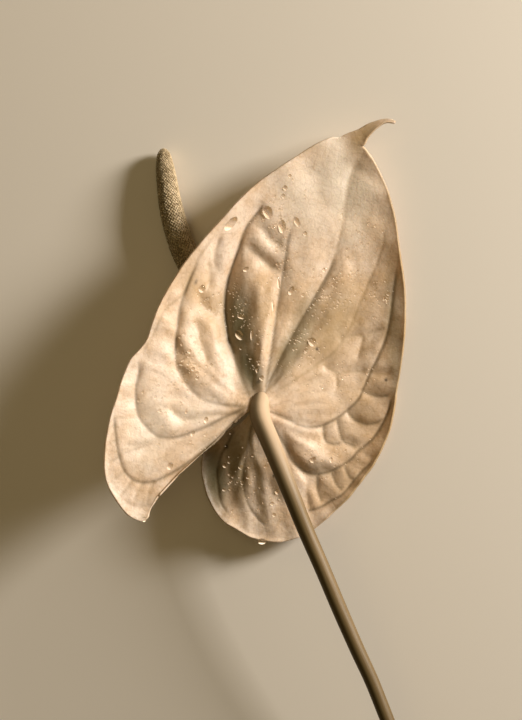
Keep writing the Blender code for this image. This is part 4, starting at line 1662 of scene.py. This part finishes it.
# %% Drops traced one by one
# Across, along, width, length, and turn in degrees.
DROPS = (
    (-19.6, 39.6, 2.9, 3.0, 0), (-9.5, 62.4, 3.4, 6.6, -48), (-4.2, 46.4, 1.8, 2.4, -60),
    (3.4, 66.4, 3.6, 5.4, 18), (8.4, 61.4, 2.9, 5.0, 0), (13.6, 63.0, 2.2, 4.2, 25),
    (16.5, 58.9, 1.6, 2.0, 0), (7.2, 41.8, 1.1, 4.6, 4), (5.3, 33.8, 1.1, 5.0, 4),
    (11.6, 38.9, 1.9, 3.6, -28), (-2.1, 23.6, 1.2, 4.2, -5), (-6.5, 23.4, 3.0, 4.2, 40),
    (-5.8, 29.8, 3.4, 1.8, -12), (-8.0, 33.6, 1.0, 1.1, 0), (-6.2, 34.3, 0.9, 1.0, 0),
    (-4.2, 34.6, 1.2, 1.2, 0), (-5.6, 32.4, 1.2, 1.1, 0), (-0.3, 11.2, 1.3, 2.6, 0),
    (1.3, 8.4, 1.9, 2.0, 0), (-1.7, 13.0, 1.2, 1.2, 0), (-27.3, 22.8, 1.2, 1.2, 0),
    (-25.9, 23.8, 1.4, 1.3, 0), (-26.6, 20.0, 1.1, 1.1, 0), (-27.6, 17.5, 1.0, 1.1, 0),
    (-26.2, 17.5, 1.1, 1.2, 0), (-23.8, 17.6, 1.0, 1.0, 0), (-26.6, 13.3, 1.3, 1.3, 0),
    (-22.7, 13.3, 1.1, 1.1, 0), (-26.2, 9.5, 1.0, 1.0, 0), (-21.3, 8.4, 1.5, 1.4, 0),
    (-25.5, 6.7, 1.2, 1.2, 0), (-18.1, 12.6, 1.1, 1.1, 0), (-16.4, 12.9, 1.3, 1.5, 0),
    (19.0, 21.0, 3.0, 3.4, 10), (14.7, 21.4, 1.2, 1.2, 0), (16.5, 17.5, 1.2, 1.3, 0),
    (15.4, 15.8, 1.1, 1.1, 0), (17.9, 16.1, 1.2, 1.1, 0), (14.4, 12.6, 1.3, 1.3, 0),
    (18.5, 13.6, 1.1, 1.1, 0), (19.3, 30.5, 1.4, 1.4, 0), (28.0, 34.0, 1.2, 1.2, 0),
    (9.5, 74.9, 1.9, 2.0, 0), (8.8, 72.1, 1.6, 1.8, 0), (11.2, 79.1, 1.4, 1.5, 0),
    (23.1, 46.2, 1.6, 1.7, 0), (19.3, 43.4, 1.2, 1.2, 0), (26.3, 41.0, 1.4, 1.4, 0),
    (27.7, 38.5, 1.1, 1.1, 0), (31.5, 50.4, 1.2, 1.2, 0), (44.5, 42.4, 1.2, 1.2, 0),
    (41.7, 42.0, 1.0, 1.0, 0), (19.3, -20.3, 1.8, 2.8, -35), (16.5, -18.6, 1.0, 1.0, 0),
    (25.6, -20.3, 1.3, 2.2, 0), (-1.8, -18.9, 1.5, 1.0, 0), (-5.3, -15.8, 1.0, 1.0, 0),
    (-11.6, -22.4, 1.8, 1.7, 0), (-10.2, -28.4, 1.2, 1.2, 0), (-2.8, -28.7, 1.0, 1.0, 0),
    (-11.9, -30.8, 1.5, 1.3, 0), (-9.1, -38.2, 1.2, 1.2, 0), (6.7, -31.5, 1.8, 2.4, 0),
    (4.9, -35.7, 1.7, 1.6, 0), (5.6, -39.6, 1.6, 1.6, 0), (-18.2, -6.3, 1.6, 2.5, -15),
    (-22.8, -10.9, 1.5, 3.0, -20), (-40.3, 3.5, 1.2, 1.4, 0), (-30.8, -22.4, 2.2, 3.0, -30),
)
print(f"{len(DROPS)} drops traced")

# %% Patches of tiny drops and drops that hang
# Patches of tiny drops: across, along, how far they spread, how many, and their usual width.
SPRAYS = (
    (-5.0, 30.0, 5.0, 44, 0.8), (-7.0, 41.0, 4.0, 18, 0.7), (5.0, 62.0, 6.0, 34, 0.9),
    (10.0, 70.0, 7.0, 30, 0.8), (18.0, 22.0, 6.0, 46, 0.9), (12.0, 12.0, 5.0, 20, 0.7),
    (24.0, 36.0, 7.0, 60, 0.9), (33.0, 44.0, 8.0, 50, 0.8), (42.0, 36.0, 5.0, 40, 0.9),
    (-24.0, 14.0, 6.0, 60, 1.0), (-18.0, 33.0, 6.0, 30, 0.9), (11.0, 44.0, 5.0, 40, 0.9),
    (-1.0, 14.0, 3.0, 18, 0.9), (-5.0, -26.0, 7.0, 34, 0.9), (3.0, -38.0, 6.0, 18, 0.8),
    (22.0, -18.0, 7.0, 26, 0.8), (-30.0, 0.0, 8.0, 36, 0.9), (-20.0, -12.0, 8.0, 24, 0.8),
    (30.0, 10.0, 10.0, 50, 0.8), (36.0, 60.0, 8.0, 40, 0.8), (-38.0, -5.0, 8.0, 30, 0.8),
    (30.0, -16.0, 8.0, 24, 0.7), (1.0, 24.0, 4.0, 20, 0.8), (9.0, 54.0, 5.0, 26, 0.9),
)
# Drops that hang from the edge: across, along, height, width and length.
HANGING = ((1.4, -48.9, -7.6, 3.0, 2.2), (-39.9, -41.0, 8.0, 1.8, 1.8))
print(f"{sum(spray[3] for spray in SPRAYS)} tiny drops, {len(HANGING)} hanging ones")

# %% [markdown]
# A dome is modelled once as a sphere with its lower part cut away, in two sizes: the small one has
# fewer faces, because there are hundreds of it.

# %% Domes of water
# How much of the sphere's radius is cut away, how tall a drop is for its width, and how deep it sits.
DROP_CUT = 0.25
DROP_HEIGHT = 0.62
DROP_SINK = 0.06
LARGE_FINE = (20, 14)
SMALL_FINE = (10, 7)


def add_dome(sides, rings):
    """A drop 1 mm wide and long, with its foot at zero."""
    deselect()
    bpy.ops.mesh.primitive_uv_sphere_add(segments=sides, ring_count=rings, radius=0.5 * MM)
    dome = bpy.context.object
    bpy.ops.object.mode_set(mode="EDIT")
    bpy.ops.mesh.select_all(action="SELECT")
    bpy.ops.mesh.bisect(plane_co=(0, 0, DROP_CUT / 2 * MM), plane_no=(0, 0, -1),
                        clear_outer=True, use_fill=True)
    bpy.ops.mesh.select_all(action="SELECT")
    bpy.ops.transform.translate(value=(0, 0, -DROP_CUT / 2 * MM))
    bpy.ops.mesh.normals_make_consistent(inside=False)
    bpy.ops.object.mode_set(mode="OBJECT")
    bpy.ops.object.shade_smooth()
    return dome


large_dome = add_dome(*LARGE_FINE)
small_dome = add_dome(*SMALL_FINE)
print(f"domes with {len(large_dome.data.polygons)} and {len(small_dome.data.polygons)} faces")

# %% [markdown]
# A ray from the eye finds where on the sheet each drop sits and which way the sheet faces there. So
# each drop looks to be where it was traced, and leans with the sheet.

# %% Find a drop's place
def drop_place(x, y):
    """Where a ray from the eye through a point of the picture meets the sheet, and its normal."""
    eye = Vector((0, 0, EYE)) * MM
    toward = (Vector((x, y, 0)) * MM - eye).normalized()
    place, normal, _, _ = back_tree.ray_cast(eye, toward)
    return place, normal


def drop_matrix(x, y, width, length, turn):
    """The matrix that puts a dome there, or nothing where the ray misses the sheet."""
    place, normal = drop_place(x, y)
    if place is None:
        return None
    if normal.z < 0:
        normal = -normal
    lean = normal.to_track_quat("Z", "Y").to_matrix().to_4x4()
    first = lean.to_3x3().inverted() @ Vector((1, 0, 0))
    straight = Matrix.Rotation(math.atan2(first.y, first.x) + math.radians(turn), 4, "Z")
    tall = DROP_HEIGHT * min(width, length)
    return (Matrix.Translation(place - normal * DROP_SINK * MM) @ lean @ straight
            @ Matrix.Diagonal((width, length, tall, 1.0)))


middle_place, _ = drop_place(*DROPS[0][:2])
print(f"the first drop sits at {(middle_place / MM).to_tuple(1)} mm")

# %% Set every drop down
# Water gathers the light at the end away from the lamp, in this direction.
BRIGHT_END = Vector((-0.55, -0.84, 0.0))
LARGE_FROM = 1.4
SPREAD_SHARE = 0.6
SIZE_SPREAD = 0.25


def add_drop(dome, x, y, width, length, turn):
    """A copy of the dome where the ray meets the sheet. Each point keeps how far it lies towards
    the end where the light gathers, from -1 to 1."""
    matrix = drop_matrix(x, y, width, length, turn)
    if matrix is None:
        return
    drop = copy_of(dome, matrix)
    end = matrix.to_3x3().inverted() @ BRIGHT_END
    end = np.array(end.xy.normalized())
    keep(drop, "side", 2 * (points_of(dome) / MM)[:, :2] @ end)
    drops.append(drop)


drops = []
for site in DROPS:
    add_drop(large_dome if max(site[2:4]) > LARGE_FROM else small_dome, *site)
random = np.random.default_rng(SEED)
for x, y, spread, count, width in SPRAYS:
    reach_out = SPREAD_SHARE * spread
    for dx, dy, share in random.normal(size=(count, 3)):
        wide = width * math.exp(SIZE_SPREAD * share)
        add_drop(small_dome, x + reach_out * dx, y + reach_out * dy, wide, wide, 0)
for x, y, z, width, length in HANGING:
    hang = copy_of(large_dome, Matrix.Translation(Vector(seen([(x, y, z)])[0]) * MM)
                   @ Matrix.Rotation(math.pi, 4, "X") @ Matrix.Diagonal((width, length, width, 1.0)))
    keep(hang, "side", 2 * points_of(large_dome)[:, 1] / MM)
    drops.append(hang)
count = len(drops)
water = join(drops, "water_drops")
bpy.data.objects.remove(large_dome)
bpy.data.objects.remove(small_dome)
lay_down(water)
print(f"{count} drops, {len(water.data.polygons)} faces")

# %% [markdown]
# ## Water drops: their finish
# Real water bends the light and gathers it at the drop's far end. Refraction through hundreds of
# small domes would need many samples to be clean. So the water is mostly see-through, with painted
# light at one end, which is paler and glows, and painted shade at the other, which is a little
# darker: what the eye takes for a drop.

# %% Finish of the drops
CLEAR = 0.10


def clear_water():
    """Clear water. Its low roughness gives each drop a sharp glint, its clearness lets the sheet
    show through, and its painted glow stands for the light that it gathers, with painted shade at the
    other end."""
    material, shader = new_material("clear_water", Roughness=0.06, IOR=1.33)
    shader.inputs["Emission Color"].default_value = linear("#ffe6c6")
    side = add_node(material, "Attribute", attribute_name="side").outputs["Fac"]
    painted_light_share, painted_shade_share = (
        add_node(material, "MapRange", {
            "Value": side, "From Min": start, "From Max": whole,
        }, interpolation_type="SMOOTHSTEP").outputs["Result"]
        for start, whole in ((0.1, 0.75), (-0.1, -0.9))
    )
    # Painted light and painted shade make the drop less clear at its two ends.
    alpha = CLEAR
    for end_share, thick in ((painted_light_share, 0.85), (painted_shade_share, 0.3)):
        alpha = add_node(material, "Math", {0: end_share, 1: thick, 2: alpha},
                         operation="MULTIPLY_ADD").outputs[0]
    painted_glow = add_node(material, "Math", {0: painted_light_share, 1: 0.75}, operation="MULTIPLY").outputs[0]
    colour = coat(material, "#a88a5e", "#fff6e6", painted_light_share)
    for socket, value in (("Base Color", colour), ("Alpha", alpha), ("Emission Strength", painted_glow)):
        material.node_tree.links.new(value, shader.inputs[socket])
    return material


water.data.materials.clear()
water.data.materials.append(clear_water())
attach(water, "root")
print(f"water lets {1 - CLEAR:.0%} of the sheet's light through in the middle")
